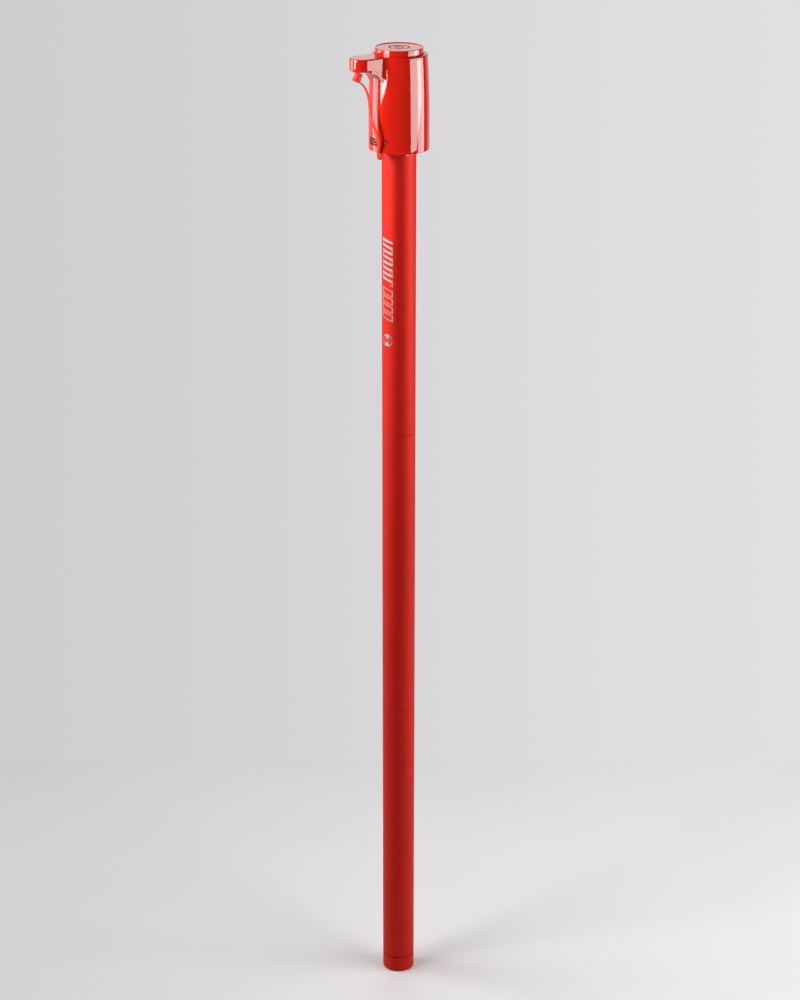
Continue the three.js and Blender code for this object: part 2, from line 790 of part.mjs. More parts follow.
/** Round-wire compression spring inside the bellows. */
function returnSpring() {
  const bottom = SEAT_TOP + SPRING_WIRE + 0.2;
  const rise = BELLOWS_TOP - SPRING_WIRE - 0.1 - bottom;
  const coil = new THREE.CatmullRomCurve3(
    Array.from({ length: SPRING_TURNS * 12 + 1 }, (_, i) => {
      const turn = (2 * Math.PI * i) / 12;
      const height = bottom + (rise * i) / (SPRING_TURNS * 12);
      return new THREE.Vector3(SPRING_RADIUS * Math.cos(turn), SPRING_RADIUS * Math.sin(turn), height);
    }),
  );
  return pipe(coil, SPRING_WIRE, 0, SPRING_TURNS * 12, 8);
}

// ---------------------------------------------------------------- pump head: liquid path

function dipTube() {
  return ring(DIP_TUBE_BORE, DIP_TUBE_RADIUS, DIP_TUBE_BOTTOM, ELBOW_BOTTOM - 0.2, SMALL_ROUND).translate(
    0,
    -RISER_FORWARD,
    0,
  );
}

/** Slotted foot that keeps the dip tube's mouth off the dish. */
function dipTubeFoot() {
  const bottom = 16;
  const outer = 4.4;
  const body = solid(
    turned(
      [
        [DIP_TUBE_RADIUS + 0.1, bottom + 4],
        [DIP_TUBE_RADIUS + 0.1, DIP_TUBE_BOTTOM + 6],
        [outer, DIP_TUBE_BOTTOM + 6],
        [outer, bottom],
        [DIP_TUBE_BORE, bottom],
        [DIP_TUBE_BORE, bottom + 4],
      ],
      SMALL_ROUND,
    ),
  );
  const slots = [0, 90].map((degrees) =>
    solid(block([-6, -0.9, bottom - 1], [6, 0.9, bottom + 2.4]).rotateZ(THREE.MathUtils.degToRad(degrees))),
  );
  return geometryOf(slots.reduce((left, slot) => left.subtract(slot), body)).translate(0, -RISER_FORWARD, 0);
}

/** Hollow elbow on top of the dip tube: up through the chassis roof, then forwards. */
function riserElbow() {
  const corner = inSpoutPlane(RISER_FORWARD, ELBOW_HEIGHT);
  const up = ring(DIP_TUBE_BORE, ELBOW_RADIUS, ELBOW_BOTTOM, ELBOW_HEIGHT, SMALL_ROUND);
  const along = new THREE.LineCurve3(corner, inSpoutPlane(ELBOW_END, ELBOW_HEIGHT));
  const bore = new THREE.LineCurve3(corner, inSpoutPlane(ELBOW_END + 1, ELBOW_HEIGHT));
  const boreUp = post(DIP_TUBE_BORE, ELBOW_BOTTOM - 1, ELBOW_HEIGHT + 1, 0, -RISER_FORWARD);
  const cap = new THREE.SphereGeometry(ELBOW_RADIUS, SMALL_ROUND, 10);
  return geometryOf(
    solid(up.translate(0, -RISER_FORWARD, 0))
      .add(solid(cap.translate(0, -RISER_FORWARD, ELBOW_HEIGHT)))
      .add(solid(pipe(along, ELBOW_RADIUS - 0.6, 0, 1, SMALL_ROUND)))
      .subtract(solid(pipe(bore, HOSE_BORE, 0, 1)))
      .subtract(solid(boreUp)),
  );
}

/** The hose's middle line, from the elbow up past the bellows and out along the spout to the nozzle. */
function hoseRoute() {
  return new THREE.CatmullRomCurve3([
    inSpoutPlane(ELBOW_END + 0.3, ELBOW_HEIGHT),
    inSpoutPlane(19.5, ELBOW_HEIGHT),
    inSpoutPlane(24, ELBOW_HEIGHT + 1.2),
    inSpoutPlane(26, ELBOW_HEIGHT + 6.5),
    inSpoutPlane(26.2, 1100),
    inSpoutPlane(27.2, 1112),
    inSpoutPlane(28.5, 1119),
    inSpoutPlane(31, 1126),
    inSpoutPlane(35, 1130.8),
    inSpoutPlane(39.5, 1133.1),
    inSpoutPlane(NOZZLE_INLET_BACK - 0.3, SPOUT_UNDERSIDE + NOZZLE_INLET * Math.cos(NOZZLE_LEAN)),
  ]);
}

/** Soft hose between the elbow and the nozzle. */
function outletHose() {
  return pipe(hoseRoute(), HOSE_RADIUS, HOSE_BORE, 30);
}

// ---------------------------------------------------------------- materials and assembly

function material(colour, roughness, metalness = 0) {
  return new THREE.MeshStandardMaterial({ color: new THREE.Color(...colour), roughness, metalness });
}

const SATIN_RED_METAL = material([0.62, 0.03, 0.02], 0.38, 0.35);
const GLOSS_RED_PLASTIC = material([0.72, 0.03, 0.02], 0.08);
const SOFT_RED_SILICONE = material([0.74, 0.04, 0.03], 0.45);
const CLEAR_PLASTIC = material([0.86, 0.87, 0.86], 0.3);
const WHITE_PLASTIC = material([0.82, 0.82, 0.8], 0.45);
const BLACK_RUBBER = material([0.03, 0.03, 0.03], 0.7);
const STEEL = material([0.6, 0.6, 0.62], 0.25, 1);

const dispenser = new THREE.Group();

function place(name, geometry, look) {
  const mesh = new THREE.Mesh(geometry, look);
  mesh.name = name;
  dispenser.add(mesh);
}

// Reservoir, from the floor up
const halfGap = SEAM_GAP / 2;
place("base_cap", baseCap(), SATIN_RED_METAL);
place("base_o_ring", oRing(BASE_CAP_HEIGHT - halfGap, 1), BLACK_RUBBER);
place("lower_tube", tube(BASE_CAP_HEIGHT + halfGap, LOWER_SEAM - halfGap), SATIN_RED_METAL);
place("lower_tube_base_socket", socket(BASE_CAP_HEIGHT + GAP), WHITE_PLASTIC);
place("lower_tube_top_socket", socket(LOWER_SEAM - GAP - SOCKET_LENGTH), WHITE_PLASTIC);
place("middle_tube", tube(LOWER_SEAM + halfGap, UPPER_SEAM - halfGap), SATIN_RED_METAL);
place("middle_tube_spigot", spigot(LOWER_SEAM), WHITE_PLASTIC);
place("middle_tube_o_ring", oRing(LOWER_SEAM, -1), BLACK_RUBBER);
place("middle_tube_top_socket", socket(UPPER_SEAM - GAP - SOCKET_LENGTH), WHITE_PLASTIC);
place("upper_tube", tube(UPPER_SEAM + halfGap, TUBE_TOP), SATIN_RED_METAL);
place("upper_tube_spigot", spigot(UPPER_SEAM), WHITE_PLASTIC);
place("upper_tube_o_ring", oRing(UPPER_SEAM, -1), BLACK_RUBBER);
place("neck_insert", neckInsert(), WHITE_PLASTIC);
place("neck_gasket", neckGasket(), BLACK_RUBBER);

// Pump head
place("head_shell", headShell(), GLOSS_RED_PLASTIC);
place("spout_cover", spoutCover(), GLOSS_RED_PLASTIC);
place("base_ring", baseRing(), GLOSS_RED_PLASTIC);
place("nozzle", nozzle(), WHITE_PLASTIC);
place("stopper", stopper(), SOFT_RED_SILICONE);
place("stopper_strap", stopperStrap(), SOFT_RED_SILICONE);
place("strap_anchor", strapAnchor(), SOFT_RED_SILICONE);
place("push_button", pushButton(), GLOSS_RED_PLASTIC);
place("button_badge", buttonBadge(), GLOSS_RED_PLASTIC);
place("pump_base", pumpBase(), WHITE_PLASTIC);
FIXING_ANGLES.forEach((degrees, i) => place(`chassis_screw_${i + 1}`, screw(degrees), STEEL));
place("bellows_seat", bellowsSeat(), WHITE_PLASTIC);
place("bellows", bellows(), BLACK_RUBBER);
place("bellows_plate", bellowsPlate(), WHITE_PLASTIC);
place("vent_valve", ventValve(), BLACK_RUBBER);
place("return_spring", returnSpring(), STEEL);
place("dip_tube", dipTube(), CLEAR_PLASTIC);
place("dip_tube_foot", dipTubeFoot(), WHITE_PLASTIC);
place("riser_elbow", riserElbow(), WHITE_PLASTIC);
place("outlet_hose", outletHose(), CLEAR_PLASTIC);

export default dispenser;
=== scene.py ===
"""A tall drink dispenser stick: a slim red tube in screwed sections, and a press-button pump head with a
spout, a nozzle and a tethered stopper. Shapes are in millimetres and become metres in new_mesh()."""

from math import acos, atan2, ceil, cos, pi, radians, sin, sqrt, tan

import bmesh
import bpy
import numpy as np
from mathutils import Matrix, Vector


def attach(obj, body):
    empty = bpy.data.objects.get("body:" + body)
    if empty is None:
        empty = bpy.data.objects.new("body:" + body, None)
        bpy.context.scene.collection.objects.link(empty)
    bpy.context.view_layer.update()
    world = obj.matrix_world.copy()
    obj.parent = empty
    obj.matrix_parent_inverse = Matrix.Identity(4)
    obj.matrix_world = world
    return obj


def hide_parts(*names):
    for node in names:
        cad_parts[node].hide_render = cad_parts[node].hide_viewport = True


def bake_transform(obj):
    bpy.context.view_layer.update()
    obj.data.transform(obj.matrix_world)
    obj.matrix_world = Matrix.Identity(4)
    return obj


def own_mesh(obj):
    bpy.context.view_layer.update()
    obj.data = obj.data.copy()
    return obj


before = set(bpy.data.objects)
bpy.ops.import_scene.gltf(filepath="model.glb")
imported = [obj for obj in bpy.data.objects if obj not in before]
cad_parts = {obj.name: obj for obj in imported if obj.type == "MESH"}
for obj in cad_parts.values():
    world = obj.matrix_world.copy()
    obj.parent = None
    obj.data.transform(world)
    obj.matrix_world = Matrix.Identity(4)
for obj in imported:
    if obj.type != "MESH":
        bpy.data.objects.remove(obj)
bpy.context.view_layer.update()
scene = bpy.context.scene

# ---- driving dimensions, as in the CAD source

BASE_CAP_HEIGHT = 21
LOWER_SEAM = 362
UPPER_SEAM = 709
TUBE_TOP = 1053
SHELL_BOTTOM = 1037.5
RIM = 1141.3
BUTTON_TOP = 1148

TUBE_RADIUS = 19
TUBE_BORE = 17.4
SEAM_GAP = 0.3
EDGE = 0.45
BASE_GROOVE_HEIGHT = 1.2
BASE_GROOVE_DEPTH = 1.5
INSERT_RADIUS = 17.15
SOCKET_BORE = 15.6
SOCKET_LENGTH = 30
SPIGOT_RADIUS = 15.2
SPIGOT_BORE = 13.2
SPIGOT_LENGTH = 24
GROOVE_DEPTH = 1.5
GROOVE_WIDTH = 2.6
THREAD_PITCH = 2.8
THREAD_DEPTH = 0.7

NECK_RADIUS = 16.9
NECK_BORE = 14.6
NECK_TOP = 1068
GASKET_THICKNESS = 1.5

SHELL_RADIUS = 33.3
SHELL_TAPER = 2.5
SHELL_TAPER_POWER = 3.2
SHELL_WALL = 2.2
RIM_FILLET = 1.6
LIP_BORE = 26.9
LIP_THICKNESS = 3.7
GUIDE_BORE = 28.7
GUIDE_BOTTOM = 1116

SPOUT_HALF_WIDTH = 14
SPOUT_NOSE_CENTRE = 47.2
SPOUT_WALL = 1.8
SPOUT_UNDERSIDE = 1127.3
SPOUT_UNDER_FILLET = 2
SPOUT_FLARE = 7.5
SPOUT_CAVITY_BACK = 31.6
SPOUT_FLANK_BOTTOM = 1117.4
COVER_FRONT = 44.5

NOZZLE_EXIT = 50.5
NOZZLE_LEAN = radians(24)
NOZZLE_RADIUS = 3.2
NOZZLE_BORE = 2.2
NOZZLE_LENGTH = 9.6
NOZZLE_INLET = 6.6
NOZZLE_INLET_BACK = 43.4
STOPPER_RADIUS = 4.7
STOPPER_BORE = 3.45
STOPPER_START = 2.5
STOPPER_END = 12.3
STOPPER_CAP = 1.8

BUTTON_RADIUS = 26.4
BUTTON_DRAFT = 0.18
BUTTON_WALL = 2
BUTTON_DISH = 0.7
BUTTON_RIM_WIDTH = 1.6
BUTTON_FLANGE_RADIUS = 28.1
BUTTON_FLANGE_TOP = 1137.2
BUTTON_FLANGE_HEIGHT = 2.6
BADGE_RADIUS = 11.4
BADGE_RECESS = 0.9
PLUNGER_RADIUS = 10
PLUNGER_BORE = 8
HOSE_NOTCH_HALF = 4.2
HOSE_NOTCH_DEPTH = 25.6

SKIRT_RADIUS = 21.5
SKIRT_BORE = 17.5
SKIRT_BOTTOM = 1056
ROOF_BOTTOM = 1070
ROOF_TOP = 1072.5
CUP_RADIUS = 22.5
CUP_BORE = 20.5
CUP_TOP = 1084
FLANGE_RADIUS = 29.5
FLANGE_THICKNESS = 2.5
SEAT_TOP = 1086.2
BELLOWS_BOTTOM = SEAT_TOP + 0.2
BELLOWS_TOP = 1130
BELLOWS_RADIUS = 22
BELLOWS_ROOT = 18.4
BELLOWS_WALL = 0.9
BELLOWS_FOLDS = 5
PLATE_TOP = 1132.2
SPRING_RADIUS = 13
SPRING_WIRE = 0.8
SPRING_TURNS = 6
FIXING_RADIUS = 26.2
FIXING_ANGLES = (60, 180, 300)
SCREW_SHANK = 1.4
SCREW_HEAD = 2.8

RISER_FORWARD = 8
DIP_TUBE_RADIUS = 3.5
DIP_TUBE_BORE = 2.5
DIP_TUBE_BOTTOM = 24
ELBOW_RADIUS = 3.7
ELBOW_BOTTOM = 1066
ELBOW_HEIGHT = 1078
ELBOW_END = 15.5
HOSE_RADIUS = 2.6
HOSE_BORE = 1.7

RING_BOTTOM = 1040.6
RING_THICKNESS = 2
RING_RADIUS = 30.8
RING_LIP_RADIUS = 20
RING_LIP_BORE = 19.25
RING_LIP_BOTTOM = 1033
STRAP_WIDTH = 3.8
STRAP_THICKNESS = 1.2
STRAP_SLOT_ANGLE = radians(15.4)
STRAP_SLOT_INNER = 28.9

GAP = 0.3

# Values of the looks alone
PRINT_RELIEF = 0.03
NOISE_ENDS = (0.3, 0.7)
SHARP_ANGLE = radians(35)
MM = 0.001

# The strap's middle line: forwards, height, sideways
STRAP_ROUTE = [
    (50.8, 1114.6, 0),
    (48.4, 1113.2, 0.2),
    (45.4, 1109.7, 0.9),
    (43.4, 1104.9, 2.0),
    (42.0, 1100.0, 2.9),
    (41.2, 1095.0, 3.6),
    (41.0, 1089.0, 4.3),
    (40.8, 1083.0, 5.2),
    (40.2, 1076.5, 6.7),
    (39.4, 1070.5, 8.6),
    (38.2, 1064.0, 11.0),
    (36.9, 1057.5, 12.6),
    (35.8, 1051.0, 13.0),
    (34.9, 1045.0, 12.2),
    (34.2, 1039.5, 10.8),
    (33.4, 1034.6, 9.6),
    (31.9, 1031.1, 8.8),
    (30.4, 1030.7, 8.4),
    (29.3, 1033.0, 8.1),
    (28.95, 1037.0, 8.0),
    (28.9, 1042.6, 7.95),
]

# The hose's middle line, in the spout's middle plane: forwards, height
HOSE_ROUTE = [
    (ELBOW_END + 0.3, ELBOW_HEIGHT),
    (19.5, ELBOW_HEIGHT),
    (24, ELBOW_HEIGHT + 1.2),
    (26, ELBOW_HEIGHT + 6.5),
    (26.2, 1100),
    (27.2, 1112),
    (28.5, 1119),
    (31, 1126),
    (35, 1130.8),
    (39.5, 1133.1),
    (NOZZLE_INLET_BACK - 0.3, SPOUT_UNDERSIDE + NOZZLE_INLET * cos(NOZZLE_LEAN)),
]

# ---- camera, lights and stage

CAMERA_AZIMUTH = radians(56)
CAMERA_DISTANCE = 2.5099
CAMERA_HEIGHT = 1.6237
CAMERA_TILT = radians(68.3)
CAMERA_PAN = radians(-0.033)
CAMERA_ROLL = radians(0.058)

PANEL_TURN = radians(15)
GLOW_RISE = radians(24)
BACKDROP_LEFT = (0.63, 0.61, 0.625, 1)
BACKDROP_RIGHT = (0.75, 0.745, 0.76, 1)
DARK_STUDIO = (0.03, 0.03, 0.03, 1)
GLOW = (1.3, 1.25, 1.22, 1)


def bearing(azimuth, distance, height):
    """The point at an azimuth round the object, as azimuths are counted from the spout's side."""
    return Vector((sin(azimuth) * distance, -cos(azimuth) * distance, height))


def add_camera():
    data = bpy.data.cameras.new("camera")
    data.lens = 84.24
    data.sensor_width = 36
    data.clip_start = 0.05
    data.clip_end = 50
    camera = bpy.data.objects.new("camera", data)
    camera.matrix_world = (
        Matrix.Translation(bearing(CAMERA_AZIMUTH, CAMERA_DISTANCE, CAMERA_HEIGHT))
        @ Matrix.Rotation(CAMERA_AZIMUTH + CAMERA_PAN, 4, "Z")
        @ Matrix.Rotation(CAMERA_TILT, 4, "X")
        @ Matrix.Rotation(CAMERA_ROLL, 4, "Z")
    )
    scene.collection.objects.link(camera)
    scene.camera = camera


def softbox(name, turn, distance, height, size, power, lean=0, dip=0, spread=180, colour=(1, 1, 1)):
    """A rectangular light, facing the tube's axis, at a turn round it from the camera.

    It leans sideways and dips forwards, and its beam has a spread. All angles are in degrees.
    """
    data = bpy.data.lights.new(name, "AREA")
    data.shape = "RECTANGLE"
    data.size, data.size_y = size
    data.energy = power
    data.color = colour
    data.spread = radians(spread)
    light = bpy.data.objects.new(name, data)
    place = bearing(CAMERA_AZIMUTH + radians(turn), distance, height)
    facing = Vector((-place.x, -place.y, 0)).to_track_quat("-Z", "Y").to_matrix().to_4x4()
    tilt = Matrix.Rotation(radians(-dip), 4, "X") @ Matrix.Rotation(radians(lean), 4, "Z")
    light.matrix_world = Matrix.Translation(place) @ facing @ tilt
    light.visible_camera = False
    scene.collection.objects.link(light)


def add_lights():
    warm = (1, 0.97, 0.91)
    softbox("left_softbox", -63, 1.5, 1.61, (0.74, 1.5), 28.5, lean=8, spread=108, colour=warm)
    softbox("high_left_softbox", -95, 1.3, 2.0, (0.9, 0.7), 12, dip=35)
    softbox("right_softbox", 67, 1.5, 1.0, (1.3, 0.62), 23, lean=9, colour=warm)
    softbox("low_left_softbox", -102, 2.1, 0.62, (1.1, 0.8), 8, dip=17, spread=115)
    softbox("low_right_softbox", 92, 2.1, 0.56, (1.2, 0.8), 10.5, dip=4, spread=115)


def add_node(tree, kind, inputs, **settings):
    """A shader node with its settings, and with each input linked to an output or set to a value."""
    node = tree.nodes.new(f"ShaderNode{kind}")
    for setting, value in settings.items():
        setattr(node, setting, value)
    for socket, value in inputs.items():
        if isinstance(value, bpy.types.NodeSocket):
            tree.links.new(value, node.inputs[socket])
        else:
            node.inputs[socket].default_value = value
    return node


def add_world():
    """Pale backdrop. Reflections also show a dark studio behind the camera and a glow high up ahead."""
    world = bpy.data.worlds.new("studio")
    world.use_nodes = True
    scene.world = world
    tree = world.node_tree
    direction = tree.nodes.new("ShaderNodeTexCoord").outputs["Generated"]

    def along(axis, low, high):
        product = add_node(tree, "VectorMath", {0: direction, 1: axis}, operation="DOT_PRODUCT")
        inputs = {"Value": product.outputs["Value"], "From Min": low, "From Max": high}
        return add_node(tree, "MapRange", inputs, interpolation_type="SMOOTHSTEP").outputs["Result"]

    def mix(factor, first, second):
        inputs = {0: factor, 6: first, 7: second}
        return add_node(tree, "Mix", inputs, data_type="RGBA").outputs[2]

    def heading(left, rise=0):
        """The direction at an angle to the left of straight ahead, raised by another."""
        turn = CAMERA_AZIMUTH + left
        return (-sin(turn) * cos(rise), cos(turn) * cos(rise), sin(rise))

    right = heading(-pi / 2)
    backdrop = mix(along(right, -0.2, 0.2), BACKDROP_LEFT, BACKDROP_RIGHT)
    studio = mix(along(heading(PANEL_TURN), 0.2, 0.6), DARK_STUDIO, backdrop)
    studio = mix(along(heading(0, GLOW_RISE), 0.92, 0.98), studio, GLOW)
    seen = tree.nodes.new("ShaderNodeLightPath").outputs["Is Camera Ray"]
    tree.links.new(mix(seen, studio, backdrop), tree.nodes["Background"].inputs["Color"])


def add_floor():
    """Pale table top, whose near edge lies below the camera's view and far edge meets the backdrop."""
    near, left, far, right = 1.02, -1.6, 0.54, 1.6
    corners = [(left, -near, 0), (right, -near, 0), (right, far - 0.02, 0), (left, far, 0)]
    turn = Matrix.Rotation(CAMERA_AZIMUTH, 3, "Z")
    mesh = bpy.data.meshes.new("floor")
    mesh.from_pydata([turn @ Vector(corner) for corner in corners], [], [(0, 1, 2, 3)])
    floor = bpy.data.objects.new("floor", mesh)
    scene.collection.objects.link(floor)
    mesh.materials.append(PALE_FLOOR)


# ---- materials


def surface(name, colours, roughness, cloud=30, grain=0, depth=0.0, stretch=(1, 1, 1), **sockets):
    """A surface with cloudy colour, uneven roughness and a fine grain, in object coordinates.

    colours are the two ends of the cloud, cloud and grain are its noises' scales, depth is the grain's
    height in millimetres, stretch is the grain's density along each axis, and sockets are set on the shader.
    """
    material = bpy.data.materials.new(name)
    material.use_nodes = True
    tree = material.node_tree
    shader = tree.nodes["Principled BSDF"]
    for socket, value in sockets.items():
        shader.inputs[socket.replace("_", " ")].default_value = value
    coordinates = tree.nodes.new("ShaderNodeTexCoord").outputs["Object"]

    def noise(scale, detail, vector):
        inputs = {"Scale": scale, "Detail": detail, "Vector": vector}
        return add_node(tree, "TexNoise", inputs).outputs[0]

    ramp = add_node(tree, "ValToRGB", {"Fac": noise(cloud, 3, coordinates)})
    for element, place, colour in zip(ramp.color_ramp.elements, NOISE_ENDS, colours):
        element.position = place
        element.color = (*colour, 1)
    tree.links.new(ramp.outputs["Color"], shader.inputs["Base Color"])

    ends = dict(zip(("From Min", "From Max", "To Min", "To Max"), (*NOISE_ENDS, *roughness)))
    spread = add_node(tree, "MapRange", {"Value": noise(cloud * 4, 4, coordinates), **ends})
    tree.links.new(spread.outputs["Result"], shader.inputs["Roughness"])

    if depth:
        mapping = add_node(tree, "Mapping", {"Vector": coordinates, "Scale": stretch})
        height = noise(grain, 3, mapping.outputs["Vector"])
        bump = add_node(tree, "Bump", {"Height": height, "Distance": depth * MM})
        tree.links.new(bump.outputs["Normal"], shader.inputs["Normal"])
    return material


PALE_FLOOR = surface("pale_floor", ((0.645, 0.652, 0.675), (0.665, 0.672, 0.695)), (0.55, 0.65), cloud=4)
RED_METAL = surface(
    "satin_red_metal", ((0.39, 0.0025, 0.001), (0.42, 0.0035, 0.0015)), (0.53, 0.59), cloud=25,
    grain=900, depth=0.006, stretch=(1, 1, 0.06),
    Metallic=0.5, Specular_IOR_Level=0.45, Specular_Tint=(1, 0.76, 0.6, 1),
)
RED_GLOSS = surface(
    "gloss_red_plastic", ((0.4, 0.0085, 0.0036), (0.43, 0.0095, 0.0042)), (0.04, 0.07), cloud=18,
    grain=120, depth=0.004,
    IOR=1.5,
)
RED_SILICONE = surface(
    "soft_red_silicone", ((0.5, 0.018, 0.004), (0.54, 0.022, 0.006)), (0.4, 0.5), cloud=160,
    grain=1600, depth=0.012,
    IOR=1.42, Specular_IOR_Level=0.35,
)
WHITE_PLASTIC = surface(
    "white_plastic", ((0.6, 0.6, 0.58), (0.66, 0.66, 0.64)), (0.32, 0.42), cloud=60,
    grain=1400, depth=0.01,
)
CLEAR_PLASTIC = surface(
    "clear_plastic", ((0.86, 0.88, 0.87), (0.9, 0.92, 0.91)), (0.1, 0.2), cloud=90,
    grain=300, depth=0.004,
    Transmission_Weight=0.8, IOR=1.45,
)
BLACK_RUBBER = surface(
    "black_rubber", ((0.018, 0.018, 0.018), (0.035, 0.035, 0.034)), (0.5, 0.65), cloud=80,
    grain=2200, depth=0.02,
)
STEEL = surface(
    "zinc_steel", ((0.55, 0.55, 0.56), (0.7, 0.7, 0.71)), (0.2, 0.34), cloud=200,
    grain=1500, depth=0.006, stretch=(0.1, 0.1, 1),
    Metallic=1.0,
)
SILVER_PRINT = surface(
    "silver_print", ((0.24, 0.235, 0.22), (0.3, 0.29, 0.275)), (0.4, 0.5), cloud=300,
    Metallic=0.4,
)
DARK_PRINT = surface(
    "dark_print", ((0.006, 0.003, 0.003), (0.014, 0.006, 0.006)), (0.6, 0.7), cloud=300,
    Specular_IOR_Level=0.08,
)

# ---- mesh building


def new_mesh(name, vertices, faces):
    """An object from points in millimetres, with its faces turned outwards."""
    mesh = bpy.data.meshes.new(name)
    mesh.from_pydata((np.asarray(vertices, float) * MM).tolist(), [], faces)
    work = bmesh.new()
    work.from_mesh(mesh)
    bmesh.ops.recalc_face_normals(work, faces=work.faces)
    work.to_mesh(mesh)
    work.free()
    obj = bpy.data.objects.new(name, mesh)
    scene.collection.objects.link(obj)
    return obj


def grid_faces(rows, columns, closed=False, start=0):
    """Quads over a grid of points that are numbered row by row. The rows of a closed grid are loops."""
    faces = []
    for i in range(rows - 1):
        below, above = start + i * columns, start + (i + 1) * columns
        for j in range(columns if closed else columns - 1):
            after = (j + 1) % columns
            faces.append((below + j, below + after, above + after, above + j))
    return faces


def end_caps(rows, columns):
    """The two faces that close a skin of looped rows."""
    last = (rows - 1) * columns
    return [tuple(range(columns)), tuple(range(last, last + columns))]


def unit(vectors):
    return vectors / np.linalg.norm(vectors, axis=-1, keepdims=True)


def rounded(corners):
    """A profile through (radius, height, fillet) corners. A corner without a fillet stays sharp."""
    steps_per_quarter = 5
    points = []
    for i, corner in enumerate(corners):
        here = np.array(corner[:2], float)
        if len(corner) < 3:
            points.append(tuple(here))
            continue
        fillet = corner[2]
        back = unit(np.array(corners[i - 1][:2]) - here)
        ahead = unit(np.array(corners[(i + 1) % len(corners)][:2]) - here)
        half = acos(np.clip(back @ ahead, -1, 1)) / 2
        centre = here + unit(back + ahead) * fillet / sin(half)
        first = here + back * fillet / tan(half) - centre
        last = here + ahead * fillet / tan(half) - centre
        begin = atan2(first[1], first[0])
        span = (atan2(last[1], last[0]) - begin + pi) % (2 * pi) - pi
        count = max(2, ceil(steps_per_quarter * abs(span) / (pi / 2)))
        for k in range(count + 1):
            angle = begin + span * k / count
            points.append((centre[0] + fillet * cos(angle), centre[1] + fillet * sin(angle)))
    return points


def band(inner, outer, low, high, *fillet):
    """A ring's profile, with the same fillet on its four corners when one is given."""
    corners = ((inner, low), (outer, low), (outer, high), (inner, high))
    return [(*corner, *fillet) for corner in corners]


def lathe(name, profile, segments=144, warp=None, middle=(0, 0)):
    """Revolves a profile, whose corners can have fillets. One that starts off the axis closes on itself."""
    turn = np.arange(segments) * 2 * pi / segments
    vertices, rings = [], []
    for radius, height in rounded(profile):
        on_axis = radius < 1e-9
        rings.append((len(vertices), on_axis))
        if on_axis:
            vertices.append((middle[0], middle[1], height))
            continue
        reach = warp(radius, height, turn) if warp else radius
        x = middle[0] + reach * np.cos(turn)
        y = middle[1] + reach * np.sin(turn)
        vertices.extend(zip(x, y, [height] * segments))
    faces = []
    pairs = list(zip(rings, rings[1:]))
    if profile[0][0] > 1e-9:
        pairs.append((rings[-1], rings[0]))
    for (low, low_pole), (high, high_pole) in pairs:
        if low_pole and high_pole:
            continue
        for j in range(segments):
            k = (j + 1) % segments
            if low_pole:
                faces.append((low, high + j, high + k))
            elif high_pole:
                faces.append((low + j, low + k, high))
            else:
                faces.append((low + j, low + k, high + k, high + j))
    return new_mesh(name, vertices, faces)


def thread(radius, low, high, depth=THREAD_DEPTH):
    """Profile rows along a threaded wall, and the warp that winds the thread into it.

    A negative depth cuts the thread into a bore.
    """
    rows_per_pitch = 10
    count = round((high - low) / THREAD_PITCH * rows_per_pitch) + 1
    rows = [(radius, height) for height in np.linspace(low, high, count)]

    def warp(r, z, turn):
        if abs(r - radius) > 1e-6 or not low <= z <= high:
            return r
        phase = ((z - low) / THREAD_PITCH - turn / (2 * pi)) % 1
        valley = np.clip(abs(phase - 0.5) * 4 - 0.5, 0, 1)
        fade = np.clip(min(z - low, high - z) / THREAD_PITCH, 0, 1)
        return r - depth * valley * fade

    return rows, warp


def prism(name, outline, low, high, place):
    """A closed solid of an outline, run from low to high. place turns (u, v, w) into a point."""
    count = len(outline)
    vertices = [place(u, v, w) for w in (low, high) for u, v in outline]
    sides = [(i, (i + 1) % count, count + (i + 1) % count, count + i) for i in range(count)]
    return new_mesh(name, vertices, [*sides, tuple(range(count)), tuple(range(count, 2 * count))])


def side_prism(name, outline, half_width):
    """A prism of an outline in the spout's middle plane: forwards, height."""
    return prism(name, outline, -half_width, half_width, lambda a, z, x: (x, -a, z))


def box_solid(name, low, high):
    (x, y, z), (far_x, far_y, far_z) = low, high
    return prism(name, [(x, y), (far_x, y), (far_x, far_y), (x, far_y)], z, far_z, lambda *point: point)


def rod(name, radius, low, high, middle=(0, 0), segments=48):
    return lathe(name, [(0, low), (radius, low), (radius, high), (0, high)], segments, middle=middle)


def smooth_path(points, per_span):
    """Catmull-Rom curve through the points."""
    p = np.array(points, float)
    p = np.vstack([2 * p[0] - p[1], p, 2 * p[-1] - p[-2]])
    t = np.linspace(0, 1, per_span, endpoint=False)[:, None]
    spans = []
    for i in range(1, len(p) - 2):
        a, b, c, d = p[i - 1 : i + 3]
        curve = 2 * b + (c - a) * t + (2 * a - 5 * b + 4 * c - d) * t**2 + (3 * b - a - 3 * c + d) * t**3
        spans.append(curve / 2)
    return np.vstack([*spans, p[-2]])


def sweep(name, path, sides, section, bore=None):
    """Runs a section of (side, normal) offsets along a path. sides are the section's side directions."""
    along = unit(np.gradient(path, axis=0))
    sides = np.broadcast_to(sides, path.shape)
    sides = unit(sides - (sides * along).sum(1)[:, None] * along)
    frames = np.stack([sides, np.cross(along, sides)], axis=1)

    def skin(outline):
        return (path[:, None] + np.asarray(outline) @ frames).reshape(-1, 3)

    rows, columns = len(path), len(section)
    vertices = skin(section)
    faces = grid_faces(rows, columns, closed=True)
    if bore is None:
        return new_mesh(name, vertices, faces + end_caps(rows, columns))
    inner = len(vertices)
    faces += grid_faces(rows, columns, closed=True, start=inner)
    for end in end_caps(rows, columns):
        for a, b in zip(end, end[1:] + end[:1]):
            faces.append((a, b, inner + b, inner + a))
    return new_mesh(name, np.vstack([vertices, skin(bore)]), faces)


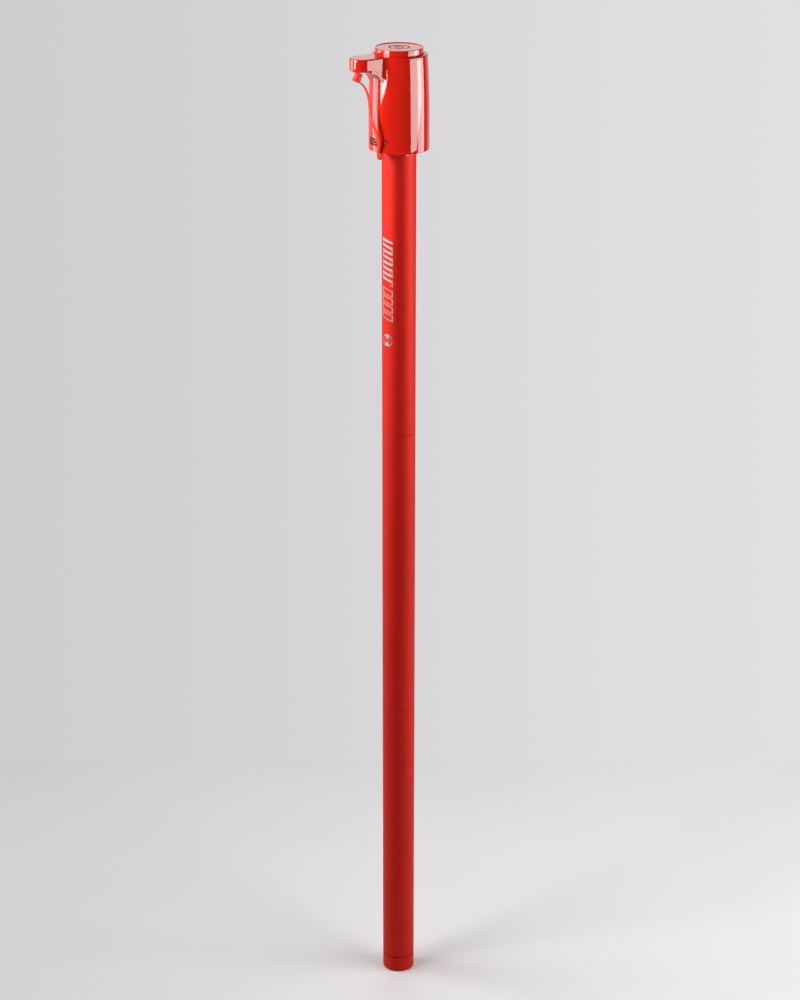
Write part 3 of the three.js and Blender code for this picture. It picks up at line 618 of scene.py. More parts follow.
def circle(radius, count=24):
    turn = np.arange(count) * 2 * pi / count
    return np.column_stack([radius * np.cos(turn), radius * np.sin(turn)])


def level_rod(name, radius, start, end, height, count=24):
    """A rod that runs forwards in the spout's middle plane."""
    path = np.array([(0, -start, height), (0, -end, height)])
    return sweep(name, path, (1, 0, 0), circle(radius, count))


def baked(obj):
    """Replaces the object's mesh by what its modifiers make of it."""
    bpy.context.view_layer.update()
    evaluated = obj.evaluated_get(bpy.context.evaluated_depsgraph_get())
    mesh = bpy.data.meshes.new_from_object(evaluated)
    obj.modifiers.clear()
    obj.data = mesh
    return obj


def combine(obj, tool, operation):
    modifier = obj.modifiers.new(operation, "BOOLEAN")
    modifier.operation = operation
    modifier.solver = "MANIFOLD"
    modifier.object = tool
    baked(obj)
    bpy.data.objects.remove(tool)
    return obj


def cut(obj, *tools):
    for tool in tools:
        combine(obj, tool, "DIFFERENCE")
    return obj


def join(obj, *tools):
    for tool in tools:
        combine(obj, tool, "UNION")
    return obj


def on_nozzle_axis(obj):
    """Moves a mesh made on the Z axis, running down from 0, onto the nozzle's axis."""
    mouth = Matrix.Translation(Vector((0, -NOZZLE_EXIT, SPOUT_UNDERSIDE)) * MM)
    obj.data.transform(mouth @ Matrix.Rotation(-NOZZLE_LEAN, 4, "X"))
    return obj


def turned(obj, angle):
    obj.data.transform(Matrix.Rotation(angle, 4, "Z"))
    return obj


def dressed(obj, material):
    """Smooth shading with crisp corners, and a material."""
    obj.data.shade_smooth()
    obj.data.set_sharp_from_angle(angle=SHARP_ANGLE)
    normals = obj.modifiers.new("normals", "WEIGHTED_NORMAL")
    normals.keep_sharp = True
    obj.data.materials.clear()
    obj.data.materials.append(material)
    return obj


def piece(obj, material, body, *nodes):
    """A finished piece that rides a body and stands for CAD nodes."""
    dressed(obj, material)
    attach(obj, body)
    if nodes:
        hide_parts(*nodes)
    return obj


# ---- reservoir


def groove(seam, direction):
    """The O-ring groove's corners, just below a seam, or above it."""
    near = seam + direction
    far = near + direction * GROOVE_WIDTH
    floor = SPIGOT_RADIUS - GROOVE_DEPTH
    return [(SPIGOT_RADIUS, near), (floor, near, 0.3), (floor, far, 0.3), (SPIGOT_RADIUS, far)]


def base_cap():
    top = BASE_CAP_HEIGHT - SEAM_GAP / 2
    spigot_top = top + 17
    bore = 12.8
    rows, warp = thread(SPIGOT_RADIUS, top + 4.6, spigot_top - 1)
    profile = [
        (0, 0),
        (TUBE_RADIUS, 0, 1.5),
        (TUBE_RADIUS, top - BASE_GROOVE_HEIGHT, 0.3),
        (TUBE_RADIUS - BASE_GROOVE_DEPTH, top - BASE_GROOVE_HEIGHT, 0.1),
        (TUBE_RADIUS - BASE_GROOVE_DEPTH, top, 0.1),
        (SPIGOT_RADIUS, top),
        *groove(top, 1),
        *rows,
        (SPIGOT_RADIUS - 0.3, spigot_top - 0.4),
        (SPIGOT_RADIUS - 0.6, spigot_top),
        (bore, spigot_top, 0.3),
        (bore, 14.5, 1.5),
        (0, 12),
    ]
    piece(lathe("base_cap", profile, warp=warp), RED_METAL, "base", "base_cap")


def tube(name, bottom, top, body):
    outside = [(TUBE_RADIUS, bottom, EDGE), (TUBE_RADIUS, top, EDGE)]
    profile = [(TUBE_BORE, bottom), *outside, (TUBE_BORE, top, 0.2)]
    piece(lathe(name, profile, 192), RED_METAL, body, name)


def socket(name, bottom, body):
    """Female threaded insert in a tube's end."""
    top = bottom + SOCKET_LENGTH
    rows, warp = thread(SOCKET_BORE, bottom + 1, top - 1, depth=-THREAD_DEPTH)
    outside = [(INSERT_RADIUS, top), (INSERT_RADIUS, bottom)]
    profile = [(SOCKET_BORE + 0.5, bottom), *rows, (SOCKET_BORE + 0.5, top), *outside]
    piece(lathe(name, profile, 96, warp), WHITE_PLASTIC, body, name)


def spigot(name, seam, body):
    """Male threaded insert that hangs below a seam."""
    bottom = seam - SPIGOT_LENGTH
    shoulder = seam + SEAM_GAP
    top = seam + SPIGOT_LENGTH
    rows, warp = thread(SPIGOT_RADIUS, bottom + 1, seam - 4.6)
    profile = [
        (SPIGOT_BORE, bottom, 0.3),
        (SPIGOT_RADIUS - 0.6, bottom),
        (SPIGOT_RADIUS - 0.3, bottom + 0.5),
        *rows,
        *groove(seam, -1)[::-1],
        (SPIGOT_RADIUS, shoulder),
        (INSERT_RADIUS, shoulder),
        (INSERT_RADIUS, top),
        (SPIGOT_BORE, top, 0.3),
    ]
    piece(lathe(name, profile, 96, warp), WHITE_PLASTIC, body, name)


def o_ring(name, seam, direction, body):
    middle = seam + direction * (1 + GROOVE_WIDTH / 2)
    inner = SPIGOT_RADIUS - GROOVE_DEPTH + 0.1
    outer = SOCKET_BORE - 0.1
    turn = np.linspace(0, 2 * pi, 20, endpoint=False)
    radii = (inner + outer) / 2 + (outer - inner) / 2 * np.cos(turn)
    heights = middle + (GROOVE_WIDTH / 2 - 0.2) * np.sin(turn)
    piece(lathe(name, list(zip(radii, heights)), 96), BLACK_RUBBER, body, name)


def neck():
    flange_bottom = TUBE_TOP + 0.1
    flange_top = flange_bottom + 1.5
    rows, warp = thread(NECK_RADIUS, flange_top + 1, NECK_TOP - 1.2)
    profile = [
        (NECK_BORE, TUBE_TOP - 22),
        (INSERT_RADIUS, TUBE_TOP - 22),
        (INSERT_RADIUS, flange_bottom),
        (TUBE_RADIUS - EDGE, flange_bottom),
        (TUBE_RADIUS - EDGE, flange_top, 0.3),
        (NECK_RADIUS, flange_top),
        *rows,
        (NECK_RADIUS - 0.2, NECK_TOP - 0.5),
        (NECK_RADIUS - 0.6, NECK_TOP),
        (NECK_BORE, NECK_TOP, 0.3),
    ]
    piece(lathe("neck_insert", profile, warp=warp), WHITE_PLASTIC, "upper_section", "neck_insert")
    bottom = NECK_TOP + 0.1
    ring = band(NECK_BORE + 0.2, NECK_RADIUS + 0.2, bottom, bottom + GASKET_THICKNESS, 0.3)
    piece(lathe("neck_gasket", ring), BLACK_RUBBER, "gasket", "neck_gasket")


def reservoir():
    half = SEAM_GAP / 2
    base_cap()
    tube("lower_tube", BASE_CAP_HEIGHT + half, LOWER_SEAM - half, "lower_section")
    tube("middle_tube", LOWER_SEAM + half, UPPER_SEAM - half, "middle_section")
    tube("upper_tube", UPPER_SEAM + half, TUBE_TOP, "upper_section")
    socket("lower_tube_base_socket", BASE_CAP_HEIGHT + GAP, "lower_section")
    socket("lower_tube_top_socket", LOWER_SEAM - GAP - SOCKET_LENGTH, "lower_section")
    socket("middle_tube_top_socket", UPPER_SEAM - GAP - SOCKET_LENGTH, "middle_section")
    spigot("middle_tube_spigot", LOWER_SEAM, "middle_section")
    spigot("upper_tube_spigot", UPPER_SEAM, "upper_section")
    o_ring("base_o_ring", BASE_CAP_HEIGHT - half, 1, "base")
    o_ring("middle_tube_o_ring", LOWER_SEAM, -1, "middle_section")
    o_ring("upper_tube_o_ring", UPPER_SEAM, -1, "upper_section")
    neck()


# ---- pump head: shell and spout


def shell_radius(height, offset=0.0):
    share = (height - SHELL_BOTTOM) / (RIM - SHELL_BOTTOM)
    return SHELL_RADIUS - SHELL_TAPER * max(share, 0) ** SHELL_TAPER_POWER + offset


def shell_side(offset, low, high=RIM - RIM_FILLET, steps=28):
    return [(shell_radius(height, offset), height) for height in np.linspace(low, high, steps + 1)]


def rim_arc(radius):
    """The rim's rounded edge, from the side to the top."""
    turns = np.linspace(0, pi / 2, 8)[1:]
    return [(radius - RIM_FILLET * (1 - cos(t)), RIM - RIM_FILLET * (1 - sin(t))) for t in turns]


def shell_body(offset=0.0):
    foot = 0.5
    profile = [
        (0, SHELL_BOTTOM),
        (SHELL_RADIUS + offset - foot, SHELL_BOTTOM),
        (SHELL_RADIUS + offset - foot * 0.3, SHELL_BOTTOM + foot * 0.3),
        *shell_side(offset, SHELL_BOTTOM + foot),
        *rim_arc(shell_radius(RIM - RIM_FILLET, offset)),
        (0, RIM),
    ]
    return lathe("head_shell", profile, 192)


def shell_cavity():
    lip = 0.5
    bottom = SHELL_BOTTOM - 1
    profile = [
        (0, bottom),
        (SHELL_RADIUS - SHELL_WALL, bottom),
        *shell_side(-SHELL_WALL, SHELL_BOTTOM, GUIDE_BOTTOM - 4, 10),
        (GUIDE_BORE, GUIDE_BOTTOM),
        (GUIDE_BORE, RIM - LIP_THICKNESS),
        (LIP_BORE, RIM - LIP_THICKNESS),
        (LIP_BORE, RIM - lip),
        (LIP_BORE + lip * 0.3, RIM - lip * 0.3),
        (LIP_BORE + lip, RIM),
        (LIP_BORE + lip, RIM + 1),
        (0, RIM + 1),
    ]
    return lathe("shell_cavity", profile, 192)


def bezier(*corners):
    """A cubic curve from the first of four corners to the last."""
    a, b, c, d = np.array(corners, float)
    t = np.linspace(0, 1, 25)[:, None]
    return a * (1 - t) ** 3 + d * t**3 + 3 * b * t * (1 - t) ** 2 + 3 * c * t**2 * (1 - t)


def flank_curve(drop=0.0):
    """The lower edge of the spout's flanks, from the nose back to the body: forwards, height."""
    front = (COVER_FRONT - drop, SPOUT_UNDERSIDE + SPOUT_WALL - drop)
    return bezier(front, (40, 1128.8 - drop), (35, 1126.5 - drop), (28, SPOUT_FLANK_BOTTOM - drop))


def below(curve, floor=1095):
    """The region under a curve, as an outline."""
    return [*map(tuple, curve), (curve[-1][0], floor), (curve[0][0], floor)]


def spout_outline(inset, radius):
    """The spout seen from above, drawn in by a fillet's depth, with flares that run into the body."""
    short_of_tangent = radians(8)
    half = SPOUT_HALF_WIDTH - inset
    flare = SPOUT_FLARE + inset
    across = half + flare
    forward = sqrt((radius + flare) ** 2 - across**2)
    quarter = np.linspace(0, pi / 2, 21)
    nose = [(half * sin(t), SPOUT_NOSE_CENTRE + half * cos(t)) for t in quarter]
    flank = [(half, a) for a in np.linspace(SPOUT_NOSE_CENTRE, forward, 12)[1:-1]]
    last = pi + atan2(forward, across) - short_of_tangent
    turns = np.linspace(pi, last, 9)
    arc = [(across + flare * cos(t), forward + flare * sin(t)) for t in turns]
    inside = (arc[-1][0] - 3 * sin(last), arc[-1][1] + 3 * cos(last))
    right = [*nose, *flank, *arc, inside]
    left = [(-x, a) for x, a in right[:0:-1]]
    return np.array([*left, *right])


def spout_solid():
    """The spout without its hollow, built from outlines at rising heights.

    Each row has an inset, and a height that is its slope times the lower edge's height plus its rise.
    """
    curve = flank_curve()[::-1]
    spare = 2.5
    under, top = SPOUT_UNDER_FILLET, RIM_FILLET
    straight = RIM - top - under
    quarter = np.linspace(0, pi / 2, 7)
    rows = [(under * (1 - sin(t)), 1, under * (1 - cos(t))) for t in quarter]
    rows += [(0, 1 - share, under + straight * share) for share in np.linspace(0, 1, 8)[1:-1]]
    rows += [(top * (1 - cos(t)), 0, RIM - top * (1 - sin(t))) for t in quarter]
    vertices = []
    for inset, slope, rise in rows:
        radius = shell_radius(min(slope * SPOUT_FLANK_BOTTOM + rise, RIM - top))
        outline = spout_outline(inset, radius if slope else radius - inset)
        forward = outline[:, 1]
        flank = np.interp(forward, curve[:, 0], curve[:, 1])
        dropped = np.minimum(SPOUT_UNDERSIDE, flank - spare)
        low = np.where(forward >= COVER_FRONT, SPOUT_UNDERSIDE, dropped)
        vertices.append(np.column_stack([outline[:, 0], -forward, slope * low + rise]))
    size = len(vertices), len(vertices[0])
    faces = grid_faces(*size, closed=True) + end_caps(*size)
    return new_mesh("spout_solid", np.vstack(vertices), faces)


def spout_cavity():
    """The hollow inside the spout. Behind the nose it is open below, where the cover closes it."""
    half = SPOUT_HALF_WIDTH - SPOUT_WALL
    turns = np.linspace(0, pi, 33)
    nose = [(half * cos(t), SPOUT_NOSE_CENTRE + half * sin(t)) for t in turns]
    plan = [(half, 20), *nose, (-half, 20)]
    cavity = prism("spout_cavity", plan, 1110, RIM, lambda x, a, z: (x, -a, z))
    front = SPOUT_NOSE_CENTRE + SPOUT_HALF_WIDTH
    side = [
        (SPOUT_CAVITY_BACK, RIM - SPOUT_WALL),
        (front, RIM - SPOUT_WALL),
        (front, SPOUT_UNDERSIDE + SPOUT_WALL),
        (COVER_FRONT, SPOUT_UNDERSIDE + SPOUT_WALL),
        (COVER_FRONT, 1121),
        (SPOUT_CAVITY_BACK + 1.2, 1121),
        (SPOUT_CAVITY_BACK, 1123),
    ]
    return combine(cavity, side_prism("spout_side", side, SPOUT_HALF_WIDTH), "INTERSECT")


def hose_path(per_span):
    return smooth_path([(0, -forward, height) for forward, height in HOSE_ROUTE], per_span)


def hose_tunnel():
    return sweep("hose_tunnel", hose_path(3), (1, 0, 0), circle(HOSE_RADIUS + GAP))


def hose_channel():
    """Where the hose leaves the body for the spout: a groove in the wall that opens into the spout."""
    half, back = 3.4, -26
    low = box_solid("channel_low", (-half, -31, 1105), (half, back, 1130))
    front = -SPOUT_CAVITY_BACK - 0.5
    high = box_solid("channel_high", (-half, front, 1124), (half, back, RIM - LIP_THICKNESS))
    return low, high, hose_tunnel()


def fixing_point(degrees):
    angle = radians(degrees)
    return FIXING_RADIUS * sin(angle), -FIXING_RADIUS * cos(angle)


def screw_post(degrees):
    """Screw post inside the shell, with the web that joins it to the wall."""
    bottom = ROOF_TOP + FLANGE_THICKNESS + GAP
    top = bottom + 14
    middle = fixing_point(degrees)
    web = box_solid("web", (-1.2, -31.8, bottom), (1.2, -FIXING_RADIUS - 1.8, top))
    post = join(rod("post", 3, bottom, top, middle), turned(web, radians(degrees)))
    return cut(post, rod("pilot", SCREW_SHANK + 0.15, bottom - 1, top - 2, middle, 24))


def head_shell():
    spout = cut(spout_solid(), side_prism("under_flanks", below(flank_curve()), SPOUT_HALF_WIDTH + 10))
    shell = cut(join(shell_body(), spout), shell_cavity())
    nozzle_hole = on_nozzle_axis(rod("nozzle_hole", NOZZLE_RADIUS + GAP, -6, 4))
    cut(shell, spout_cavity(), *hose_channel(), nozzle_hole)
    join(shell, *(screw_post(degrees) for degrees in FIXING_ANGLES))
    shell.name = "head_shell_skin"
    piece(shell, RED_GLOSS, "head", "head_shell")


def spout_cover():
    """Curved strip that closes the spout from below, between the nose and the body."""
    front = (COVER_FRONT + 1, SPOUT_UNDERSIDE - 1)
    under = bezier(front, (37.5, 1125), (31.5, 1119), (28.5, 1110))
    strip = side_prism("spout_cover_skin", below(flank_curve(GAP)), SPOUT_HALF_WIDTH - 0.05)
    cut(strip, side_prism("under_cover", below(under), SPOUT_HALF_WIDTH + 1))
    above = box_solid("above", (-20, -COVER_FRONT, 1111.5), (20, -20, 1130))
    cut(combine(strip, above, "INTERSECT"), shell_body(GAP), hose_tunnel())
    piece(strip, RED_GLOSS, "head", "spout_cover")


def base_ring():
    """Ring that closes the shell from below, with a lip round the tube and a slot for the strap."""
    top = RING_BOTTOM + RING_THICKNESS
    profile = [
        (RING_LIP_BORE, RING_LIP_BOTTOM, 0.25),
        (RING_LIP_RADIUS, RING_LIP_BOTTOM, 0.3),
        (RING_LIP_RADIUS, RING_BOTTOM, 0.8),
        (RING_RADIUS, RING_BOTTOM, 0.3),
        (RING_RADIUS, top, 0.3),
        (RING_LIP_BORE, top, 0.3),
    ]
    half = STRAP_WIDTH / 2 + 0.5
    slot = box_solid("slot", (-half, -RING_RADIUS - 1, RING_BOTTOM - 1), (half, -STRAP_SLOT_INNER, top + 1))
    ring = cut(lathe("base_ring_skin", profile), turned(slot, STRAP_SLOT_ANGLE))
    piece(ring, RED_GLOSS, "head", "base_ring")


# ---- pump head: nozzle, stopper and strap


def nozzle():
    """Outlet tip: an elbow inside the spout's nose, with its outlet pipe standing out below."""
    height = SPOUT_UNDERSIDE + NOZZLE_INLET * cos(NOZZLE_LEAN)
    forward = NOZZLE_EXIT - NOZZLE_INLET * sin(NOZZLE_LEAN)
    tip, top = -NOZZLE_LENGTH, NOZZLE_INLET + 1.6
    outlet = [(0, tip), (NOZZLE_RADIUS, tip, 0.6), (NOZZLE_RADIUS, top, 1), (0, top)]
    body = on_nozzle_axis(lathe("nozzle_skin", outlet, 64))
    join(body, level_rod("inlet", HOSE_RADIUS, forward, NOZZLE_INLET_BACK, height))
    cut(body, on_nozzle_axis(rod("bore", NOZZLE_BORE, tip - 1, NOZZLE_INLET)))
    cut(body, level_rod("inlet_bore", HOSE_BORE, forward, NOZZLE_INLET_BACK - 1, height))
    piece(body, WHITE_PLASTIC, "head", "nozzle")


def stopper():
    """Soft cup that closes the nozzle, with a bead round its mouth."""
    radius, end, start = STOPPER_RADIUS, -STOPPER_END, -STOPPER_START
    profile = [
        (0, end),
        (radius, end, 0.9),
        (radius, end + 2.6, 0.3),
        (radius - 0.45, end + 3.2, 0.4),
        (radius - 0.45, start - 2.2, 0.4),
        (radius, start - 1.7, 0.3),
        (radius, start, 0.5),
        (STOPPER_BORE, start, 0.3),
        (STOPPER_BORE, end + STOPPER_CAP, 0.5),
        (0, end + STOPPER_CAP),
    ]
    piece(on_nozzle_axis(lathe("stopper_cup", profile, 72)), RED_SILICONE, "stopper", "stopper")


def strap():
    """Flat soft strap from the stopper to the base ring, its broad side turned towards the body."""
    path = smooth_path([(side, -forward, height) for forward, height, side in STRAP_ROUTE], 8)
    turn = np.arctan2(path[:, 0], -path[:, 1])
    sides = np.column_stack([np.cos(turn), np.sin(turn), np.zeros(len(turn))])
    corner = 0.42
    width, thickness = STRAP_WIDTH / 2 - corner, STRAP_THICKNESS / 2 - corner
    section = []
    for quarter, (x, y) in enumerate(((1, 1), (-1, 1), (-1, -1), (1, -1))):
        for t in (quarter + np.linspace(0, 1, 5)) * pi / 2:
            section.append((x * width + corner * cos(t), y * thickness + corner * sin(t)))
    obj = sweep("stopper_tether", path, sides, section)
    dressed(obj, RED_SILICONE)
    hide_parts("stopper_strap")
    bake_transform(obj)


def strap_anchor():
    """Bead that holds the strap in the base ring."""
    bottom = RING_BOTTOM + RING_THICKNESS + GAP
    obj = box_solid("strap_bead", (-3.6, -30.3, bottom), (3.6, -27.7, bottom + 3))
    bevel = obj.modifiers.new("bevel", "BEVEL")
    bevel.width = 0.6 * MM
    bevel.segments = 4
    piece(turned(baked(obj), STRAP_SLOT_ANGLE), RED_SILICONE, "head", "strap_anchor")


# ---- pump head: button


def push_button():
    dish = BUTTON_TOP - BUTTON_DISH
    underside = dish - BUTTON_WALL
    flange_bottom = BUTTON_FLANGE_TOP - BUTTON_FLANGE_HEIGHT
    skirt_bore = BUTTON_RADIUS - BUTTON_WALL
    rim_inner = BUTTON_RADIUS - BUTTON_RIM_WIDTH
    profile = [
        (0, dish - BADGE_RECESS),
        (BADGE_RADIUS + 0.2, dish - BADGE_RECESS, 0.2),
        (BADGE_RADIUS + 0.2, dish, 0.25),
        (rim_inner - 0.4, dish, 0.5),
        (rim_inner + 0.3, BUTTON_TOP, 0.35),
        (BUTTON_RADIUS - BUTTON_DRAFT, BUTTON_TOP, 0.75),
        (BUTTON_RADIUS, BUTTON_FLANGE_TOP, 0.3),
        (BUTTON_FLANGE_RADIUS, BUTTON_FLANGE_TOP, 0.3),
        (BUTTON_FLANGE_RADIUS, flange_bottom, 0.3),
        (skirt_bore, flange_bottom),
        (skirt_bore, underside, 0.5),
        (PLUNGER_RADIUS, underside, 0.5),
        (PLUNGER_RADIUS, PLATE_TOP + 0.1),
        (PLUNGER_BORE, PLATE_TOP + 0.1),
        (PLUNGER_BORE, underside),
        (0, underside),
    ]
    low = (-HOSE_NOTCH_HALF, -BUTTON_FLANGE_RADIUS - 1, flange_bottom - 1)
    high = (HOSE_NOTCH_HALF, -HOSE_NOTCH_DEPTH, BUTTON_FLANGE_TOP)
    button = cut(lathe("push_button_cap", profile, 192), box_solid("notch", low, high))
    piece(button, RED_GLOSS, "button", "push_button")


def button_badge():
    """Plain round inlay with two raised circles."""
    bottom = BUTTON_TOP - BUTTON_DISH - BADGE_RECESS + 0.1
    low = bottom + 0.6
    high = low + 0.25
    profile = [
        (0, bottom),
        (BADGE_RADIUS, bottom),
        (BADGE_RADIUS, high, 0.12),
        (BADGE_RADIUS - 1.3, high, 0.12),
        (BADGE_RADIUS - 1.3, low, 0.1),
        (5.2, low, 0.1),
        (5.2, high, 0.12),
        (4.2, high, 0.12),
        (4.2, low, 0.1),
        (0, low),
    ]
    piece(lathe("button_inlay", profile), RED_GLOSS, "button", "button_badge")


# ---- pump head: pump


def pump_base():
    """Moulded chassis: a socket over the neck, a screwed flange and the cup under the bellows."""
    flange_top = ROOF_TOP + FLANGE_THICKNESS
    rows, warp = thread(SKIRT_BORE, SKIRT_BOTTOM + 1, ROOF_BOTTOM - 1.5, depth=-THREAD_DEPTH)
    profile = [
        (SKIRT_BORE + 0.6, SKIRT_BOTTOM),
        (SKIRT_RADIUS, SKIRT_BOTTOM, 0.4),
        (SKIRT_RADIUS, ROOF_TOP, 0.8),
        (FLANGE_RADIUS, ROOF_TOP, 0.4),
        (FLANGE_RADIUS, flange_top, 0.4),
        (CUP_RADIUS, flange_top, 0.6),
        (CUP_RADIUS, CUP_TOP, 0.3),
        (CUP_BORE, CUP_TOP, 0.3),
        (CUP_BORE, ROOF_TOP, 0.8),
        (0, ROOF_TOP),
        (0, ROOF_BOTTOM),
        (SKIRT_BORE, ROOF_BOTTOM),
        *rows[::-1],
    ]
    body = lathe("pump_chassis", profile, 144, warp)
    low, high = ROOF_BOTTOM - 1, ROOF_TOP + 1
    air_hole = 1.6
    for radius, y in ((ELBOW_RADIUS + GAP, -RISER_FORWARD), (air_hole, RISER_FORWARD)):
        cut(body, rod("roof_hole", radius, low, high, (0, y)))
    for degrees in FIXING_ANGLES:
        middle = fixing_point(degrees)
        cut(body, rod("screw_hole", SCREW_SHANK + GAP, ROOF_TOP - 1, flange_top + 1, middle, 24))
    piece(cut(body, hose_tunnel()), WHITE_PLASTIC, "head", "pump_base")


def screws():
    """Pan-head screws with a cross recess that hold the chassis to the shell's posts."""
    head_top = ROOF_TOP - 0.1
    ridge_depth, ridge_step = 0.35, 0.55
    shank = [(SCREW_SHANK, head_top)]
    for i in range(20):
        shank.append((SCREW_SHANK - ridge_depth * (i % 2), head_top + 1 + i * ridge_step))
    for number, degrees in enumerate(FIXING_ANGLES, 1):
        x, y = fixing_point(degrees)
        profile = [
            (0, head_top - 2),
            (SCREW_HEAD - 0.3, head_top - 2, 0.9),
            (SCREW_HEAD, head_top, 0.3),
            *shank,
            (0, head_top + 13),
        ]
        screw = lathe(f"chassis_screw_{number}_turned", profile, 48, middle=(x, y))
        for wide, deep in ((1.5, 0.3), (0.3, 1.5)):
            low = (x - wide, y - deep, head_top - 3)
            cut(screw, box_solid("recess", low, (x + wide, y + deep, head_top - 1)))
        piece(screw, STEEL, "head", f"chassis_screw_{number}")


def bellows_plates():
    """The plates at the bellows' two ends."""
    seat = ("bellows_seat", "head", 4, CUP_TOP + 0.2, SEAT_TOP)
    plate = ("bellows_plate", "button", 2.6, BELLOWS_TOP + 0.2, PLATE_TOP)
    for name, body, bore, low, high in (seat, plate):
        disc = lathe(f"{name}_disc", band(bore, CUP_RADIUS, low, high, 0.4))
        piece(disc, WHITE_PLASTIC, body, name)


def squashed(obj):
    """Gives a soft part of the head a mesh of its own."""
    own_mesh(obj)


def bellows():
    heights = np.linspace(BELLOWS_BOTTOM, BELLOWS_TOP, BELLOWS_FOLDS * 16 + 1)
    share = (heights - BELLOWS_BOTTOM) / (BELLOWS_TOP - BELLOWS_BOTTOM)
    swing = np.cos(share * BELLOWS_FOLDS * 2 * pi)
    pleats = np.sign(swing) * abs(swing) ** 0.8
    middle, reach = (BELLOWS_RADIUS + BELLOWS_ROOT) / 2, (BELLOWS_RADIUS - BELLOWS_ROOT) / 2
    outer = middle + reach * pleats
    wall = [*zip(outer, heights), *zip(outer[::-1] - BELLOWS_WALL, heights[::-1])]
    squashed(piece(lathe("bellows_wall", wall, 120), BLACK_RUBBER, "head", "bellows"))


def return_spring():
    """Coil spring whose two end turns lie nearly flat."""
    low = SEAT_TOP + SPRING_WIRE + 0.2
    high = BELLOWS_TOP - SPRING_WIRE - 0.1
    share = np.linspace(0, 1, SPRING_TURNS * 40 + 1)
    turn = 2 * pi * SPRING_TURNS * share
    end = 0.9 / SPRING_TURNS
    rise = np.interp(share, [0, end, 1 - end, 1], [0, 0.04, 0.96, 1])
    outward = np.column_stack([np.cos(turn), np.sin(turn), 0 * turn])
    coil = outward * SPRING_RADIUS + np.outer(low + (high - low) * rise, (0, 0, 1))
    wire = sweep("spring_coil", coil, outward, circle(SPRING_WIRE, 14))
    squashed(piece(wire, STEEL, "head", "return_spring"))


def vent_valve():
    """Umbrella valve whose stem goes through the bellows' upper plate."""
    under = BELLOWS_TOP
    umbrella = [
        (0, under - 1.4),
        (6, under - 0.9, 0.2),
        (6, under - 0.1, 0.2),
        (2.2, under - 0.1),
        (2.2, PLATE_TOP + 0.2),
        (3.4, PLATE_TOP + 0.2, 0.2),
        (3, PLATE_TOP + 1.6, 0.5),
        (0, PLATE_TOP + 1.6),
    ]
    piece(lathe("vent_umbrella", umbrella, 64), BLACK_RUBBER, "button", "vent_valve")


# ---- pump head: liquid path


def dip_tube():
    """Clear pipe down to the base cap, with a slotted foot on its end."""
    middle = (0, -RISER_FORWARD)
    wall = band(DIP_TUBE_BORE, DIP_TUBE_RADIUS, DIP_TUBE_BOTTOM, ELBOW_BOTTOM - 0.2, 0.3)
    piece(lathe("dip_tube_pipe", wall, 40, middle=middle), CLEAR_PLASTIC, "head", "dip_tube")

    bottom, inner, outer = 16, DIP_TUBE_RADIUS + 0.1, 4.4
    foot_wall = [
        (inner, bottom + 4),
        (inner, DIP_TUBE_BOTTOM + 6),
        (outer, DIP_TUBE_BOTTOM + 6, 0.3),
        (outer, bottom, 0.3),
        (DIP_TUBE_BORE, bottom, 0.3),
        (DIP_TUBE_BORE, bottom + 4),
    ]
    foot = lathe("dip_tube_slotted_foot", foot_wall, 48, middle=middle)
    for x, y in ((6, 0.9), (0.9, 6)):
        low = (-x, -RISER_FORWARD - y, bottom - 1)
        cut(foot, box_solid("slot", low, (x, -RISER_FORWARD + y, bottom + 2.4)))
    piece(foot, WHITE_PLASTIC, "head", "dip_tube_foot")


def riser_elbow():
    """Elbow on top of the dip tube, which turns the drink's way forwards."""
    middle = (0, -RISER_FORWARD)
    low, high = ELBOW_BOTTOM, ELBOW_HEIGHT + ELBOW_RADIUS
    upright = [(0, low), (ELBOW_RADIUS, low, 0.4), (ELBOW_RADIUS, high, 3), (0, high)]
    elbow = lathe("riser_elbow_pipe", upright, 56, middle=middle)
    join(elbow, level_rod("arm", ELBOW_RADIUS - 0.6, RISER_FORWARD, ELBOW_END, ELBOW_HEIGHT, 40))
    cut(elbow, level_rod("arm_bore", HOSE_BORE, RISER_FORWARD, ELBOW_END + 1, ELBOW_HEIGHT))
    cut(elbow, rod("riser_bore", DIP_TUBE_BORE, ELBOW_BOTTOM - 1, ELBOW_HEIGHT + 1, middle))
    piece(elbow, WHITE_PLASTIC, "head", "riser_elbow")


def outlet_hose():
    hose = sweep("outlet_hose_tube", hose_path(8), (1, 0, 0), circle(HOSE_RADIUS), circle(HOSE_BORE))
    piece(hose, CLEAR_PLASTIC, "head", "outlet_hose")


# ---- printed marks


def printed(name, shapes, radius_at, azimuth, material, body):
    """Thin marks wrapped round the axis, at an azimuth counted from -Y.

    Each shape has two rows of (across, height) points, which are its two long edges.
    """
    vertices, faces = [], []
    for shape in shapes:
        columns = len(shape[0])
        count, start = 2 * columns, len(vertices)
        for lift in (PRINT_RELIEF, -PRINT_RELIEF):
            for across, height in np.reshape(shape, (count, 2)):
                radius = radius_at(height)
                turn = azimuth + across / radius
                reach = radius + lift
                vertices.append((reach * sin(turn), -reach * cos(turn), height))
        faces += grid_faces(2, columns, start=start)
        faces += grid_faces(2, columns, start=start + count)
        edge = [*range(start, start + columns), *range(start + count - 1, start + columns - 1, -1)]
        for a, b in zip(edge, edge[1:] + edge[:1]):
            faces.append((a, b, count + b, count + a))
    piece(new_mesh(name, vertices, faces), material, body)


def bar(left, right, low, high, slope=0, steps=8):
    """A mark between two heights, which are those on the middle line when it slopes."""
    across = np.linspace(left, right, steps + 1)
    return np.array([np.column_stack([across, height + slope * across]) for height in (low, high)])


